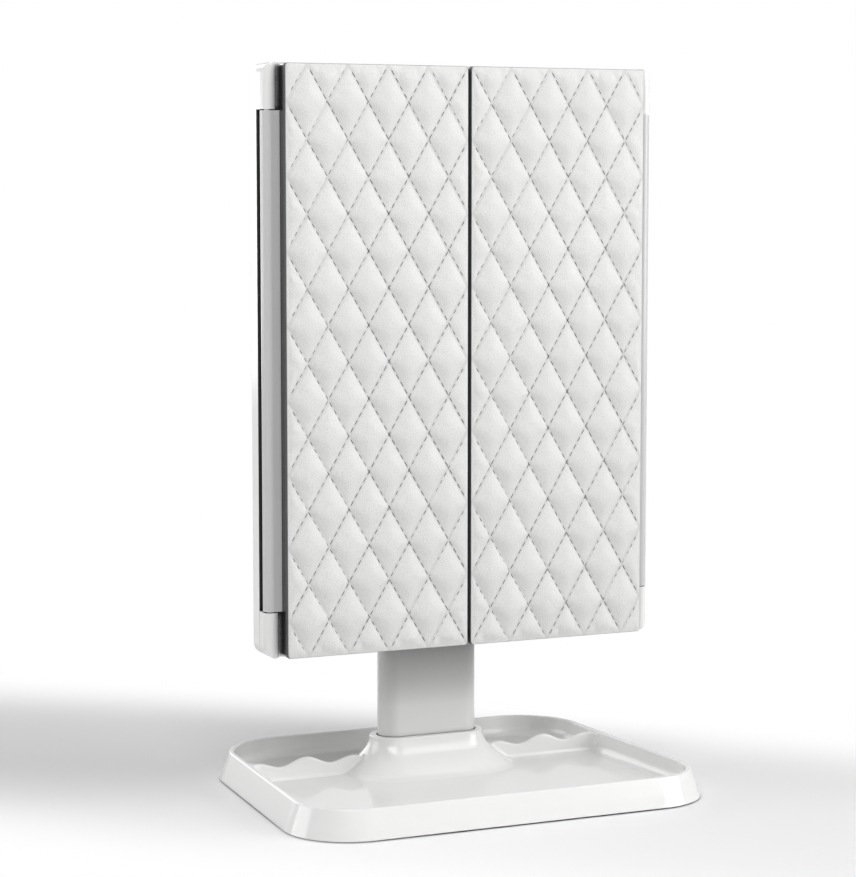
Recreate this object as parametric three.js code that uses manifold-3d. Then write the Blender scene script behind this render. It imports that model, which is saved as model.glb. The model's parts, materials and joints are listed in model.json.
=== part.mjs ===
// A folding vanity mirror on a tray stand, in millimetres, +Z up, front towards -Y.
// The origin is on the table, under the middle of the tray.
// Two quilted doors close in front of a lit main mirror, and the head tilts on a flat post.
import * as THREE from 'three';
import { mergeVertices } from 'three/addons/utils/BufferGeometryUtils.js';
import Module from 'manifold-3d';

const wasm = await Module();
wasm.setup();

// General fits and mouldings
const FIT = 0.3;                  // gap between pieces that seat on each other
const GLUE = 0.1;                 // glue line under glass, pads and boards
const RUNNING = 0.5;              // gap between pieces that move past each other
const SHELL = 2.2;                // wall of the large mouldings
const CORNER_STEPS = 6;           // faces in a rounded corner
const SMALL_CORNER_STEPS = 3;     // faces in a corner of a few millimetres
const LEAST_CORNER = 1;           // least radius that an inset corner keeps
const COVE_STEPS = 4;             // faces in the cove of the tray
const PAST = 1;                   // how far a joined shape runs in, and a cut runs past a face
const ROUND_SIDES = 20;           // faces round a pin or a disc
const SCREW_SIDES = 12;           // faces round a screw

// Base tray
const BASE_FRONT_WIDTH = 210;     // across the foot of the front wall
const BASE_BACK_WIDTH = 190;      // across the foot of the back wall
const BASE_DEPTH = 164.4;
const BASE_FRONT_RADIUS = 31;     // plan corner radii, at the foot of the wall
const BASE_BACK_RADIUS = 36;
const WALL_HEIGHT = 13.1;         // foot of the wall to the rim
const WALL_LEAN = 4.8;            // the outer face leans in by this much
const INNER_DRAFT = 1.5;          // the inner face opens by this much towards the rim
const TRAY_DEPTH = 9.5;           // rim to tray floor
const TRAY_FLOOR = 1.8;           // thickness of the tray floor
const TRAY_COVE = 5;              // radius where the inner wall meets the floor
const FOOT_HEIGHT = 0.8;          // how far the rubber feet stand out below the wall
const FOOT_RADIUS = 7;
const FOOT_THICKNESS = 1.4;
const FOOT_INSET = 25.2;          // middle of a foot, in from the outline at the back corners
const RIM_BEVEL = 0.6;            // outer edge of the rim
const COVER_THICKNESS = 1.2;      // panel that closes the underside
const COVER_SCREW_RADIUS = 1.25;
const COVER_SCREW_LENGTH = 4.4;
const COVER_SCREW_HEAD = 0.7;
const SCREW_INSET = 7.5;          // cover screws, in from the corner of the wall

// Hub in the tray that holds the post
const HUB_HEIGHT = 17.2;          // rim of the socket above the tray floor
const HUB_LIP = 3.75;             // width of the rim round the post
const HUB_FLARE = 14.5;           // how much further out the foot of the skirt stands
const HUB_CURVE = 2;              // power of the skirt's hollow curve
const HUB_RINGS = 6;
const SOCKET_FLOOR_LIFT = 0.6;    // socket floor above the tray floor, room for the screw heads
const SOCKET_FLOOR = 2.4;
const POST_SCREW_RADIUS = 1.75;
const POST_SCREW_LENGTH = 15;
const POST_SCREW_HEAD_RADIUS = 3.4;
const POST_SCREW_HEAD = 1.8;
const POST_SCREW_X = 13;

// Wavy dividers between the hub and the side walls
const DIVIDER_THICKNESS = 2.2;
const DIVIDER_COVE = 1.6;         // fillet along the foot
const COVE_MIDDLE = DIVIDER_COVE * (1 - Math.SQRT1_2);
const WAVE_HEIGHT = 8.35;         // mean height of the wavy edge above the tray floor
const WAVE_SWING = 1.75;
const WAVE_LENGTH = 25;
const WAVE_DROOP = 0.0022;        // the outer crests lie lower, by this much per square millimetre
const WAVE_STEP = 2.5;

// Post
const POST_WIDTH = 50;
const POST_DEPTH = 16;
const POST_WALL = 2.4;
const POST_Y = 27;                // middle of the post, behind the middle of the tray
const POST_BOSS = 9;              // width of the two screw bosses inside its foot
const PIVOT_Z = 199;              // height of the tilt hinge
const KNUCKLE_WIDTH = 25;         // middle knuckle of the tilt hinge
const SHOULDER_GAP = 1.6;         // below the ears of the bracket

// Tilt hinge
const TILT_PIN_RADIUS = 2.5;
const TILT_CAP_RADIUS = 4.6;
const TILT_CAP = 1.8;
const TILT_WASHER = 0.8;
const TILT_WASHER_RADIUS = 6.5;
const TILT_EAR = 11;              // width of each ear of the bracket
const BRACKET_HEIGHT = 50;
const BRACKET_PLATE = 3;
const BRACKET_CORNER = 4;
const EAR_ROOT = 14;              // half the height of an ear at the plate
const BRACKET_REACH = 23.7;       // back of the head to the hinge pin
const BRACKET_SCREW_RADIUS = 1.5;
const BRACKET_SCREW_HEAD_RADIUS = 2.8;
const BRACKET_SCREW_HEAD = 1.6;
const BRACKET_SCREW_LENGTH = 5.5;
const BRACKET_SCREW_MARGIN = 6;   // in from the corners of the plate

// Doors
const DOOR_SPAN = 180;            // across both closed doors
const DOOR_HEIGHT = 267;
const DOOR_SEAM = 1.5;            // gap between the closed doors
const DOOR_THICKNESS = 9;
const DOOR_CORNER = 1.5;
const DOOR_WEB = 1.5;             // partition between the mirror and the backing board
const DOOR_GLASS = 2;
const DOOR_GLASS_BORDER = 2.2;
const BOARD_THICKNESS = 2;
const BOARD_BORDER = 4;
const PAD_THICKNESS = 3;          // foam and leatherette at the stitches
const PAD_PUFF = 0.9;             // how far a diamond stands out from its stitches
const PAD_EDGE_DRAW = 0.5;        // how far the sides draw in at the face
const PAD_SHOULDER = 1;           // depth at which the sides reach the full outline
const QUILT_COLUMNS = 4.5;        // diamonds across a door
const QUILT_ROWS = 8;             // diamonds up a door
const QUILT_CUTS = 3;             // grid steps along the side of a diamond

// Door hinges
const BARREL_RADIUS = 3.5;
const BARREL_OUT = 4.6;           // hinge axis, out from the side of the door
const BARREL_BEHIND = 10.2;       // hinge axis, behind the face of the door
const KNUCKLE_LENGTH = 20.8;      // fixed knuckle at each corner of the head
const HINGE_PIN_RADIUS = 1.5;
const HINGE_PIN_LENGTH = 30;
const HINGE_PIN_RECESS = 1.2;     // pin below the end of the head
const WEB_THICKNESS = 2;          // plate that joins the barrel to the door

// Head
const HEAD_DEPTH = 26;            // face of the doors to the back of the head
const HEAD_OVER = 0.5;            // head taller than the doors, at each end
const HEAD_MID_Z = 205.4;         // middle of the doors
const HEAD_CORNER = 5;
const HEAD_BACK_ROUND = 3;
const RAIL_FRONT = 10.8;          // depth of the side rails behind the hinge barrels
const RAIL_WALL = 4.2;            // rim round the rear cover
const COVER_LEDGE = 1;            // ledge that the rear cover rests on
const DOOR_GAP = 0.6;             // between the closed doors and the main mirror
const FRAME_SIDE = 2.5;           // wall beside the main glass
const GLASS_BORDER = 6;           // frame above and below the main glass
const GLASS_THICKNESS = 2;
const GLASS_SEAT = 3.5;           // ledge that the edge of the glass rests on
const LIGHT_CHANNEL = 12;         // width of the light channel at each side
const CHANNEL_DEPTH = 3.4;
const CHANNEL_FLOOR = 1.8;
const CHANNEL_LIP = 2;
const DIFFUSER_THICKNESS = 1.2;
const LED_BOARD_THICKNESS = 1;
const LED_BOARD_WIDTH = 8;
const LED_COUNT = 10;
const LED_SIZE = 3;
const LED_HEIGHT = 0.6;
const LED_BOARD_MARGIN = 6;       // from the end of the channel to the board

// Rear cover and what it carries
const REAR_COVER = 2.2;
const REAR_SCREW_RADIUS = 1.25;
const REAR_SCREW_HEAD_RADIUS = 2.4;
const REAR_SCREW_HEAD = 1.2;
const REAR_SCREW_LENGTH = 7;
const REAR_BOSS_RADIUS = 3.2;
const REAR_BOSS_INSET = 5;
const CELL_RADIUS = 5.25;
const CELL_LENGTH = 44.5;
const CELL_COUNT = 4;
const CELL_GAP = 0.5;
const CELL_NUB_RADIUS = 1.9;
const CELL_NUB = 0.8;
const BAY_WALL = 1.2;
const BAY_ABOVE = 52;             // middle of the battery bay above the middle of the head
const CONTACT_THICKNESS = 0.6;
const CONTACT_BUMP = 1;
const CONTACT_HEIGHT = 8.4;
const BATTERY_DOOR = 1.6;
const BATTERY_DOOR_LIP = 2;
const BATTERY_DOOR_TRAVEL = 8;
const BATTERY_DOOR_CORNER = 2;
const GRIP_WIDTH = 14;            // grooves for a finger
const GRIP_HEIGHT = 1;
const GRIP_DEPTH = 0.6;
const GRIP_PITCH = 3;
const BOARD_X = 40;               // control board, across from the middle of the head
const BOARD_RISE = 56;            // control board, up from the bottom of the head
const BOARD_WIDTH = 52;
const BOARD_TALL = 30;
const PCB_THICKNESS = 1.6;
const PCB_BEHIND = 8.2;           // cover to control board
const STANDOFF_RADIUS = 2;
const STANDOFF_INSET = 4;
const BUTTON_RADIUS = 5.5;
const BUTTON_FLANGE = 1.2;
const BUTTON_STANDOUT = 1.4;
const BUTTON_TRAVEL = 1;
const STEM_RADIUS = 2;
const SWITCH_SIZE = 6;
const SWITCH_HEIGHT = 3.2;
const INLET_WIDTH = 9;
const INLET_HEIGHT = 3.3;
const INLET_WALL = 0.5;
const INLET_SPACING = 26;         // button to inlet

// Door catch
const MAGNET_LENGTH = 12;
const MAGNET_HEIGHT = 3;
const MAGNET_DEPTH = 2;
const CATCH_DROP = 2.8;           // middle of the magnets, down from the top of the head

// Places worked out from the sizes above
const WALL_FOOT_Z = FOOT_HEIGHT;
const RIM_Z = WALL_FOOT_Z + WALL_HEIGHT;
const TRAY_Z = RIM_Z - TRAY_DEPTH;
const HUB_RIM_Z = TRAY_Z + HUB_HEIGHT;
const SOCKET_Z = TRAY_Z + SOCKET_FLOOR_LIFT + SOCKET_FLOOR;
const POST_FOOT_Z = SOCKET_Z + FIT;
const POST_SHOULDER_Z = PIVOT_Z - POST_DEPTH / 2 - SHOULDER_GAP;
const EAR_INNER = KNUCKLE_WIDTH / 2 + TILT_WASHER + FIT;
const EAR_OUTER = EAR_INNER + TILT_EAR;

// Inside the head, y is measured from the face of the closed doors and z from their middle
const HEAD_FRONT_Y = POST_Y - BRACKET_REACH - HEAD_DEPTH;
const PIVOT_Y_IN_HEAD = HEAD_DEPTH + BRACKET_REACH;
const PIVOT_Z_IN_HEAD = PIVOT_Z - HEAD_MID_Z;
const HALF_SPAN = DOOR_SPAN / 2;
const HALF_DOOR = DOOR_HEIGHT / 2;
const HALF_HEAD = HALF_DOOR + HEAD_OVER;
const HINGE_X = HALF_SPAN + BARREL_OUT;
const HALF_RAIL = HINGE_X + BARREL_RADIUS;
const RAIL_Y = HEAD_DEPTH - RAIL_FRONT;
const FRAME_Y = DOOR_THICKNESS + DOOR_GAP;
const GLASS_BACK_Y = FRAME_Y + GLASS_THICKNESS;
const SEAT_Y = GLASS_BACK_Y + GLUE;
const HALF_GLASS_X = HALF_SPAN - FRAME_SIDE;
const HALF_GLASS_Z = HALF_HEAD - GLASS_BORDER;
const HALF_WINDOW_Z = HALF_GLASS_Z - GLASS_SEAT;
const CHANNEL_OUTER_X = HALF_GLASS_X - GLASS_SEAT;
const CHANNEL_INNER_X = CHANNEL_OUTER_X - LIGHT_CHANNEL;
const CHANNEL_X = (CHANNEL_OUTER_X + CHANNEL_INNER_X) / 2;
const CHANNEL_Y = SEAT_Y + CHANNEL_DEPTH;
const CAVITY_Y = CHANNEL_Y + CHANNEL_FLOOR;
const HALF_COVER_X = HALF_RAIL - RAIL_WALL;
const HALF_COVER_Z = HALF_HEAD - RAIL_WALL;
const COVER_CORNER = Math.max(HEAD_CORNER - RAIL_WALL, LEAST_CORNER);
const HALF_CAVITY_X = HALF_COVER_X - COVER_LEDGE;
const HALF_CAVITY_Z = HALF_COVER_Z - COVER_LEDGE;
const COVER_Y = HEAD_DEPTH - REAR_COVER;
const PCB_BACK_Y = COVER_Y - PCB_BEHIND;
const BOARD_Z = BOARD_RISE - HALF_HEAD;
const KNUCKLE_END = HALF_HEAD - KNUCKLE_LENGTH;
const CATCH_Z = HALF_HEAD - CATCH_DROP;
const CELL_PITCH = 2 * CELL_RADIUS + CELL_GAP;
const CELL_Y = HEAD_DEPTH - FIT - CELL_RADIUS - BATTERY_DOOR;
const BAY_FLOOR_Y = CELL_Y - CELL_RADIUS - FIT;
const CONTACT_X = CELL_LENGTH / 2 + CELL_NUB + FIT + CONTACT_BUMP;
const HALF_BAY_X = CONTACT_X + CONTACT_THICKNESS + FIT;
const HALF_BAY_Z = (CELL_COUNT * CELL_PITCH) / 2 + FIT;
const TAB_X = HALF_BAY_X + BAY_WALL + BATTERY_DOOR_LIP;
const BUTTON_X = BOARD_X + INLET_SPACING / 2;
const INLET_X = BOARD_X - INLET_SPACING / 2;

const HIDDEN = { roughness: 0.6, metalness: 0 };
const FINISH = {
  glossWhite: { color: '#f3f3f2', roughness: 0.2, metalness: 0 },
  satinWhite: { color: '#ededec', roughness: 0.4, metalness: 0 },
  leather: { color: '#e9e8e6', roughness: 0.55, metalness: 0 },
  mirror: { color: '#f5f7f8', roughness: 0.03, metalness: 1 },
  frosted: { color: '#f4f6f4', roughness: 0.7, metalness: 0 },
  rubber: { color: '#c9c9c7', roughness: 0.85, metalness: 0 },
  steel: { color: '#b9bbbd', roughness: 0.35, metalness: 1 },
  board: { color: '#b79b74', ...HIDDEN },
  circuit: { color: '#e6eae6', ...HIDDEN },
  cell: { color: '#8d949b', roughness: 0.4, metalness: 0.4 },
};

// A closed geometry as a solid that can be cut and joined.
function toSolid(geometry) {
  const bare = geometry.clone();
  bare.deleteAttribute('normal');
  bare.deleteAttribute('uv');
  const merged = mergeVertices(bare, 1e-5);
  return new wasm.Manifold(new wasm.Mesh({
    numProp: 3,
    vertProperties: new Float32Array(merged.attributes.position.array),
    triVerts: new Uint32Array(merged.index.array),
  }));
}

function toGeometry(solid) {
  const mesh = solid.getMesh();
  const geometry = new THREE.BufferGeometry();
  geometry.setAttribute('position', new THREE.BufferAttribute(new Float32Array(mesh.vertProperties), 3));
  geometry.setIndex(Array.from(mesh.triVerts));
  geometry.computeVertexNormals();
  return geometry;
}

const join = (...geometries) => toGeometry(
  geometries.map(toSolid).reduce((whole, next) => whole.add(next)),
);

const cut = (body, ...tools) => toGeometry(
  tools.map(toSolid).reduce((rest, tool) => rest.subtract(tool), toSolid(body)),
);

const common = (first, second) => toGeometry(toSolid(first).intersect(toSolid(second)));

// The same solid on the other side of the middle plane, with its faces still pointing out.
function mirrored(geometry) {
  const twin = geometry.index ? geometry.toNonIndexed() : geometry.clone();
  twin.scale(-1, 1, 1);
  const position = twin.attributes.position;
  const corner = new THREE.Vector3();
  const other = new THREE.Vector3();
  for (let i = 0; i < position.count; i += 3) {
    corner.fromBufferAttribute(position, i + 1);
    other.fromBufferAttribute(position, i + 2);
    position.setXYZ(i + 1, other.x, other.y, other.z);
    position.setXYZ(i + 2, corner.x, corner.y, corner.z);
  }
  twin.computeVertexNormals();
  return twin;
}

// A polygon, anticlockwise, with each corner rounded to its own radius.
function roundedPolygon(corners, radii, steps = CORNER_STEPS) {
  const points = [];
  corners.forEach((corner, i) => {
    const before = corners[(i + corners.length - 1) % corners.length].clone().sub(corner).normalize();
    const after = corners[(i + 1) % corners.length].clone().sub(corner).normalize();
    if (radii[i] <= 0) {
      points.push(corner.clone());
      return;
    }
    const half = Math.acos(THREE.MathUtils.clamp(before.dot(after), -1, 1)) / 2;
    const middle = before.clone().add(after).normalize();
    const centre = corner.clone().addScaledVector(middle, radii[i] / Math.sin(half));
    const start = corner.clone().addScaledVector(before, radii[i] / Math.tan(half)).sub(centre);
    const turn = Math.PI - 2 * half;
    for (let k = 0; k <= steps; k += 1) {
      points.push(start.clone().rotateAround(new THREE.Vector2(), (turn * k) / steps).add(centre));
    }
  });
  const apart = (point, i) => point.distanceTo(points[(i + 1) % points.length]) > 1e-4;
  return points.filter(apart);
}

function rectangle(width, height, radius = 0, x = 0, y = 0, steps = CORNER_STEPS) {
  const corners = [[-1, -1], [1, -1], [1, 1], [-1, 1]].map(
    ([i, j]) => new THREE.Vector2(x + (i * width) / 2, y + (j * height) / 2),
  );
  return roundedPolygon(corners, corners.map(() => radius), steps);
}

const stadium = (width, depth, x = 0, y = 0) => rectangle(width, depth, depth / 2, x, y, CORNER_STEPS + 2);

// An outline in x and y, drawn up from low to high.
function prism(outline, low, high) {
  const options = { depth: high - low, bevelEnabled: false };
  const geometry = new THREE.ExtrudeGeometry(new THREE.Shape(outline), options);
  return geometry.translate(0, 0, low);
}

const X_AXIS = new THREE.Vector3(1, 0, 0);
const Y_AXIS = new THREE.Vector3(0, 1, 0);
const Z_AXIS = new THREE.Vector3(0, 0, 1);
const TO_FRONT = new THREE.Matrix4().makeBasis(X_AXIS, Z_AXIS, Y_AXIS.clone().negate());
const TO_SIDE = new THREE.Matrix4().makeBasis(Y_AXIS, Z_AXIS, X_AXIS);

// An outline in x and z, drawn back from the depth front to the depth back.
const slab = (outline, front, back) => prism(outline, -back, -front).applyMatrix4(TO_FRONT);

// An outline in y and z, drawn across from left to right.
const bar = (outline, left, right) => prism(outline, left, right).applyMatrix4(TO_SIDE);

const block = (x, y, z) => new THREE.BoxGeometry(x[1] - x[0], y[1] - y[0], z[1] - z[0]).translate(
  (x[0] + x[1]) / 2,
  (y[0] + y[1]) / 2,
  (z[0] + z[1]) / 2,
);

const span = (middle, size) => [middle - size / 2, middle + size / 2];

const upright = (radius, x, y, low, high, sides = ROUND_SIDES) => new THREE.CylinderGeometry(
  radius, radius, high - low, sides,
).rotateX(Math.PI / 2).translate(x, y, (low + high) / 2);

const crosswise = (radius, y, z, left, right, sides = ROUND_SIDES) => new THREE.CylinderGeometry(
  radius, radius, right - left, sides,
).rotateZ(Math.PI / 2).translate((left + right) / 2, y, z);

const lengthwise = (radius, x, z, front, back, sides = ROUND_SIDES) => new THREE.CylinderGeometry(
  radius, radius, back - front, sides,
).translate(x, (front + back) / 2, z);

// A closed skin over rings of equal count, the lowest first.
function loft(rings) {
  const count = rings[0].points.length;
  const positions = rings.flatMap((ring) => ring.points.flatMap((point) => [point.x, point.y, ring.z]));
  const index = [];
  for (let level = 0; level + 1 < rings.length; level += 1) {
    for (let i = 0; i < count; i += 1) {
      const next = (i + 1) % count;
      const low = level * count;
      const high = low + count;
      index.push(low + i, low + next, high + next, low + i, high + next, high + i);
    }
  }
  const top = (rings.length - 1) * count;
  THREE.ShapeUtils.triangulateShape(rings[0].points, []).forEach(([a, b, c]) => index.push(a, c, b));
  THREE.ShapeUtils.triangulateShape(rings.at(-1).points, []).forEach(([a, b, c]) => (
    index.push(top + a, top + b, top + c)
  ));
  const geometry = new THREE.BufferGeometry();
  geometry.setAttribute('position', new THREE.Float32BufferAttribute(positions, 3));
  geometry.setIndex(index);
  geometry.computeVertexNormals();
  return geometry;
}

function piece(name, geometry, finish) {
  const mesh = new THREE.Mesh(geometry, new THREE.MeshStandardMaterial(finish));
  mesh.name = name;
  return mesh;
}

// The corners of the tray's plan, a rectangle a little narrower behind, moved in by an inset.
function baseCorners(inset) {
  const lean = (BASE_FRONT_WIDTH - BASE_BACK_WIDTH) / 2 / BASE_DEPTH;
  const slant = inset * Math.hypot(1, lean);
  const front = BASE_FRONT_WIDTH / 2 - slant - lean * inset;
  const back = BASE_BACK_WIDTH / 2 - slant + lean * inset;
  const halfDepth = BASE_DEPTH / 2 - inset;
  const corners = [
    new THREE.Vector2(-front, -halfDepth),
    new THREE.Vector2(front, -halfDepth),
    new THREE.Vector2(back, halfDepth),
    new THREE.Vector2(-back, halfDepth),
  ];
  const radii = [BASE_FRONT_RADIUS, BASE_FRONT_RADIUS, BASE_BACK_RADIUS, BASE_BACK_RADIUS];
  return { corners, radii: radii.map((radius) => Math.max(radius - inset, LEAST_CORNER)) };
}

function basePlan(inset) {
  const { corners, radii } = baseCorners(inset);
  return roundedPolygon(corners, radii);
}

// How far the leaning wall stands in at a height.
const wallLean = (z) => (WALL_LEAN * (z - WALL_FOOT_Z)) / WALL_HEIGHT;

const baseLoft = (levels) => loft(levels.map(([z, inset]) => ({ z, points: basePlan(inset) })));

// The hollow of the tray, from its floor to above the rim, grown outwards by an offset.
function trayHollow(offset) {
  const rim = WALL_LEAN + SHELL;
  const wall = rim + INNER_DRAFT;
  const floor = TRAY_Z - offset;
  const radius = TRAY_COVE + offset;
  const levels = [];
  for (let k = 0; k <= COVE_STEPS; k += 1) {
    const angle = (Math.PI / 2) * (k / COVE_STEPS);
    levels.push([
      floor + radius * (1 - Math.cos(angle)),
      wall + TRAY_COVE - radius * Math.sin(angle),
    ]);
  }
  levels.push([RIM_Z, rim - offset]);
  levels.push([RIM_Z + PAST, rim - offset - INNER_DRAFT / TRAY_DEPTH]);
  return baseLoft(levels);
}

// The skirt of the hub flares from the socket rim down to the tray floor in a hollow curve.
function hubSkirt(offset, root, low, high) {
  const foot = HUB_LIP + HUB_FLARE + offset;
  const rings = [{ z: root, points: postStadium(foot) }];
  for (let k = 0; k <= HUB_RINGS; k += 1) {
    const share = k / HUB_RINGS;
    const grow = HUB_LIP + HUB_FLARE * (1 - share) ** HUB_CURVE + offset;
    rings.push({ z: low + (high - low) * share, points: postStadium(grow) });
  }
  return loft(rings);
}

function postStadium(grow) {
  return stadium(POST_WIDTH + 2 * grow, POST_DEPTH + 2 * grow, 0, POST_Y);
}

// A thin wall from the middle of the hub to beyond the side wall, with a wavy upper edge.
function divider() {
  const start = POST_WIDTH / 2 + HUB_LIP;
  const end = BASE_FRONT_WIDTH / 2;
  const wallAt = BASE_FRONT_WIDTH / 2 - WALL_LEAN - SHELL - INNER_DRAFT;
  const crest = (start + wallAt) / 2;
  const outline = [new THREE.Vector2(end, TRAY_Z - PAST), new THREE.Vector2(end, TRAY_Z + WAVE_HEIGHT)];
  const steps = Math.round((end - start) / WAVE_STEP);
  for (let k = 1; k <= steps; k += 1) {
    const x = end - ((end - start) * k) / steps;
    const along = x - crest;
    const rise = WAVE_SWING * Math.cos((2 * Math.PI * along) / WAVE_LENGTH) - WAVE_DROOP * along * along;
    outline.push(new THREE.Vector2(x, TRAY_Z + WAVE_HEIGHT + rise));
  }
  outline.push(new THREE.Vector2(start, TRAY_Z - PAST));
  const half = DIVIDER_THICKNESS / 2;
  const foot = half + DIVIDER_COVE;
  const section = [
    [-foot, TRAY_Z - PAST],
    [foot, TRAY_Z - PAST],
    [foot, TRAY_Z],
    [half + COVE_MIDDLE, TRAY_Z + COVE_MIDDLE],
    [half, TRAY_Z + DIVIDER_COVE],
    [half, RIM_Z + WAVE_SWING],
    [-half, RIM_Z + WAVE_SWING],
    [-half, TRAY_Z + DIVIDER_COVE],
    [-half - COVE_MIDDLE, TRAY_Z + COVE_MIDDLE],
    [-foot, TRAY_Z],
  ].map(([y, z]) => new THREE.Vector2(POST_Y + y, z));
  const wave = slab(outline.reverse(), POST_Y - foot - PAST, POST_Y + foot + PAST);
  return common(wave, bar(section, start - PAST, end + PAST));
}

// The corners of a rectangle about the middle plane.
const fourPlaces = (x, up, middle = 0) => [-1, 1].flatMap(
  (side) => [-1, 1].map((end) => [side * x, middle + end * up]),
);

// The cover screws stand on the bisectors of the plan's corners, the same distance in from each arc.
function coverScrewPlaces() {
  const { corners: plan, radii } = baseCorners(0);
  return plan.map((corner, i) => {
    const before = plan[(i + plan.length - 1) % plan.length].clone().sub(corner).normalize();
    const after = plan[(i + 1) % plan.length].clone().sub(corner).normalize();
    const half = Math.acos(before.dot(after)) / 2;
    const toArc = radii[i] / Math.sin(half) - radii[i];
    const middle = before.add(after).normalize();
    return corner.clone().addScaledVector(middle, toArc + SCREW_INSET).toArray();
  });
}

// The tray, its walls, the hub and the dividers are one moulding, open underneath.
function baseTray() {
  const outer = baseLoft([
    [WALL_FOOT_Z, 0],
    [RIM_Z - RIM_BEVEL, wallLean(RIM_Z - RIM_BEVEL)],
    [RIM_Z, WALL_LEAN + RIM_BEVEL],
  ]);
  const inside = baseLoft([
    [WALL_FOOT_Z - PAST, SHELL],
    [WALL_FOOT_Z, SHELL],
    [RIM_Z - SHELL, SHELL + wallLean(RIM_Z - SHELL)],
  ]);
  const hollow = cut(inside, trayHollow(TRAY_FLOOR));
  const skirt = hubSkirt(0, TRAY_Z - TRAY_FLOOR / 2, TRAY_Z, HUB_RIM_Z);
  const underSkirt = hubSkirt(-SHELL, WALL_FOOT_Z, TRAY_Z - TRAY_FLOOR, HUB_RIM_Z - SHELL);
  const socketWall = prism(postStadium(SHELL), TRAY_Z + SOCKET_FLOOR_LIFT, HUB_RIM_Z);
  const right = divider();
  const walls = common(join(right, mirrored(right)), baseLoft([
    [WALL_FOOT_Z, SHELL],
    [RIM_Z - SHELL, WALL_LEAN + SHELL / 2],
    [RIM_Z + SHELL, WALL_LEAN + SHELL / 2],
  ]));
  const bosses = coverScrewPlaces().map(([x, y]) => upright(
    COVER_SCREW_RADIUS + SHELL, x, y, WALL_FOOT_Z + FIT * 2 + COVER_THICKNESS, TRAY_Z + SHELL, SCREW_SIDES,
  ));
  const pilots = coverScrewPlaces().map(([x, y]) => upright(
    COVER_SCREW_RADIUS + FIT / 2, x, y, WALL_FOOT_Z, WALL_FOOT_Z + COVER_THICKNESS + COVER_SCREW_LENGTH,
    SCREW_SIDES,
  ));
  const postHoles = [-1, 1].map((side) => upright(
    POST_SCREW_RADIUS + FIT, side * POST_SCREW_X, POST_Y, TRAY_Z - SHELL, SOCKET_Z + PAST, SCREW_SIDES,
  ));
  const tray = cut(cut(outer, trayHollow(0)), hollow);
  const hub = cut(join(tray, skirt, walls), cut(underSkirt, socketWall));
  return cut(
    join(hub, cut(common(join(...bosses), outer), trayHollow(0))),
    prism(postStadium(FIT), SOCKET_Z, HUB_RIM_Z + PAST),
    ...pilots,
    ...postHoles,
  );
}

function screw(radius, length, headRadius, head) {
  const tip = head + length;
  const profile = [[0, 0], [headRadius, 0], [headRadius, head], [radius, head], [radius, tip], [0, tip]];
  return new THREE.LatheGeometry(profile.map(([x, y]) => new THREE.Vector2(x, y)), SCREW_SIDES);
}

const screwUp = (geometry, x, y, z) => geometry.rotateX(Math.PI / 2).translate(x, y, z);

function addBase(group) {
  const coverLow = WALL_FOOT_Z + FIT;
  const coverHigh = coverLow + COVER_THICKNESS;
  group.add(piece('base_tray', baseTray(), FINISH.glossWhite));
  const holes = coverScrewPlaces().map(([x, y]) => upright(
    COVER_SCREW_RADIUS + FIT / 2, x, y, 0, coverHigh + PAST, SCREW_SIDES,
  ));
  const feet = fourPlaces(BASE_BACK_WIDTH / 2 - FOOT_INSET, BASE_DEPTH / 2 - FOOT_INSET);
  const seatDepth = FOOT_THICKNESS - FOOT_HEIGHT - FIT;
  const pockets = feet.map(([x, y]) => upright(FOOT_RADIUS + FIT, x, y, 0, coverLow + seatDepth));
  const panel = baseLoft([coverLow, coverHigh].map((z) => [z, SHELL + FIT + wallLean(z)]));
  group.add(piece('base_cover', cut(panel, ...holes, ...pockets), FINISH.satinWhite));
  feet.forEach(([x, y], i) => {
    const foot = upright(FOOT_RADIUS, x, y, 0, FOOT_THICKNESS - GLUE);
    group.add(piece(`rubber_foot_${i + 1}`, foot, FINISH.rubber));
  });
  coverScrewPlaces().forEach(([x, y], i) => {
    const geometry = screw(COVER_SCREW_RADIUS, COVER_SCREW_LENGTH, 2 * COVER_SCREW_RADIUS, COVER_SCREW_HEAD);
    screwUp(geometry, x, y, coverLow - COVER_SCREW_HEAD - GLUE);
    group.add(piece(`base_screw_${i + 1}`, geometry, FINISH.steel));
  });
}

function post() {
  const outside = prism(postStadium(0), POST_FOOT_Z, POST_SHOULDER_Z);
  const inside = prism(postStadium(-POST_WALL), POST_FOOT_Z - PAST, POST_SHOULDER_Z - POST_WALL);
  const bosses = [-1, 1].map((side) => block(
    span(side * POST_SCREW_X, POST_BOSS),
    span(POST_Y, POST_DEPTH - POST_WALL),
    [POST_FOOT_Z, POST_FOOT_Z + POST_SCREW_LENGTH + POST_WALL],
  ));
  const pilotTop = POST_FOOT_Z + POST_SCREW_LENGTH;
  const pilots = [-1, 1].map((side) => upright(
    POST_SCREW_RADIUS + FIT / 2, side * POST_SCREW_X, POST_Y, POST_FOOT_Z - PAST, pilotTop, SCREW_SIDES,
  ));
  const half = KNUCKLE_WIDTH / 2;
  const neck = block([-half, half], span(POST_Y, POST_DEPTH), [POST_SHOULDER_Z - PAST, PIVOT_Z]);
  const knuckle = crosswise(POST_DEPTH / 2, POST_Y, PIVOT_Z, -half, half, ROUND_SIDES + 4);
  const bore = crosswise(TILT_PIN_RADIUS + FIT, POST_Y, PIVOT_Z, -half - PAST, half + PAST);
  return cut(join(cut(outside, inside), ...bosses, neck, knuckle), bore, ...pilots);
}

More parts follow.
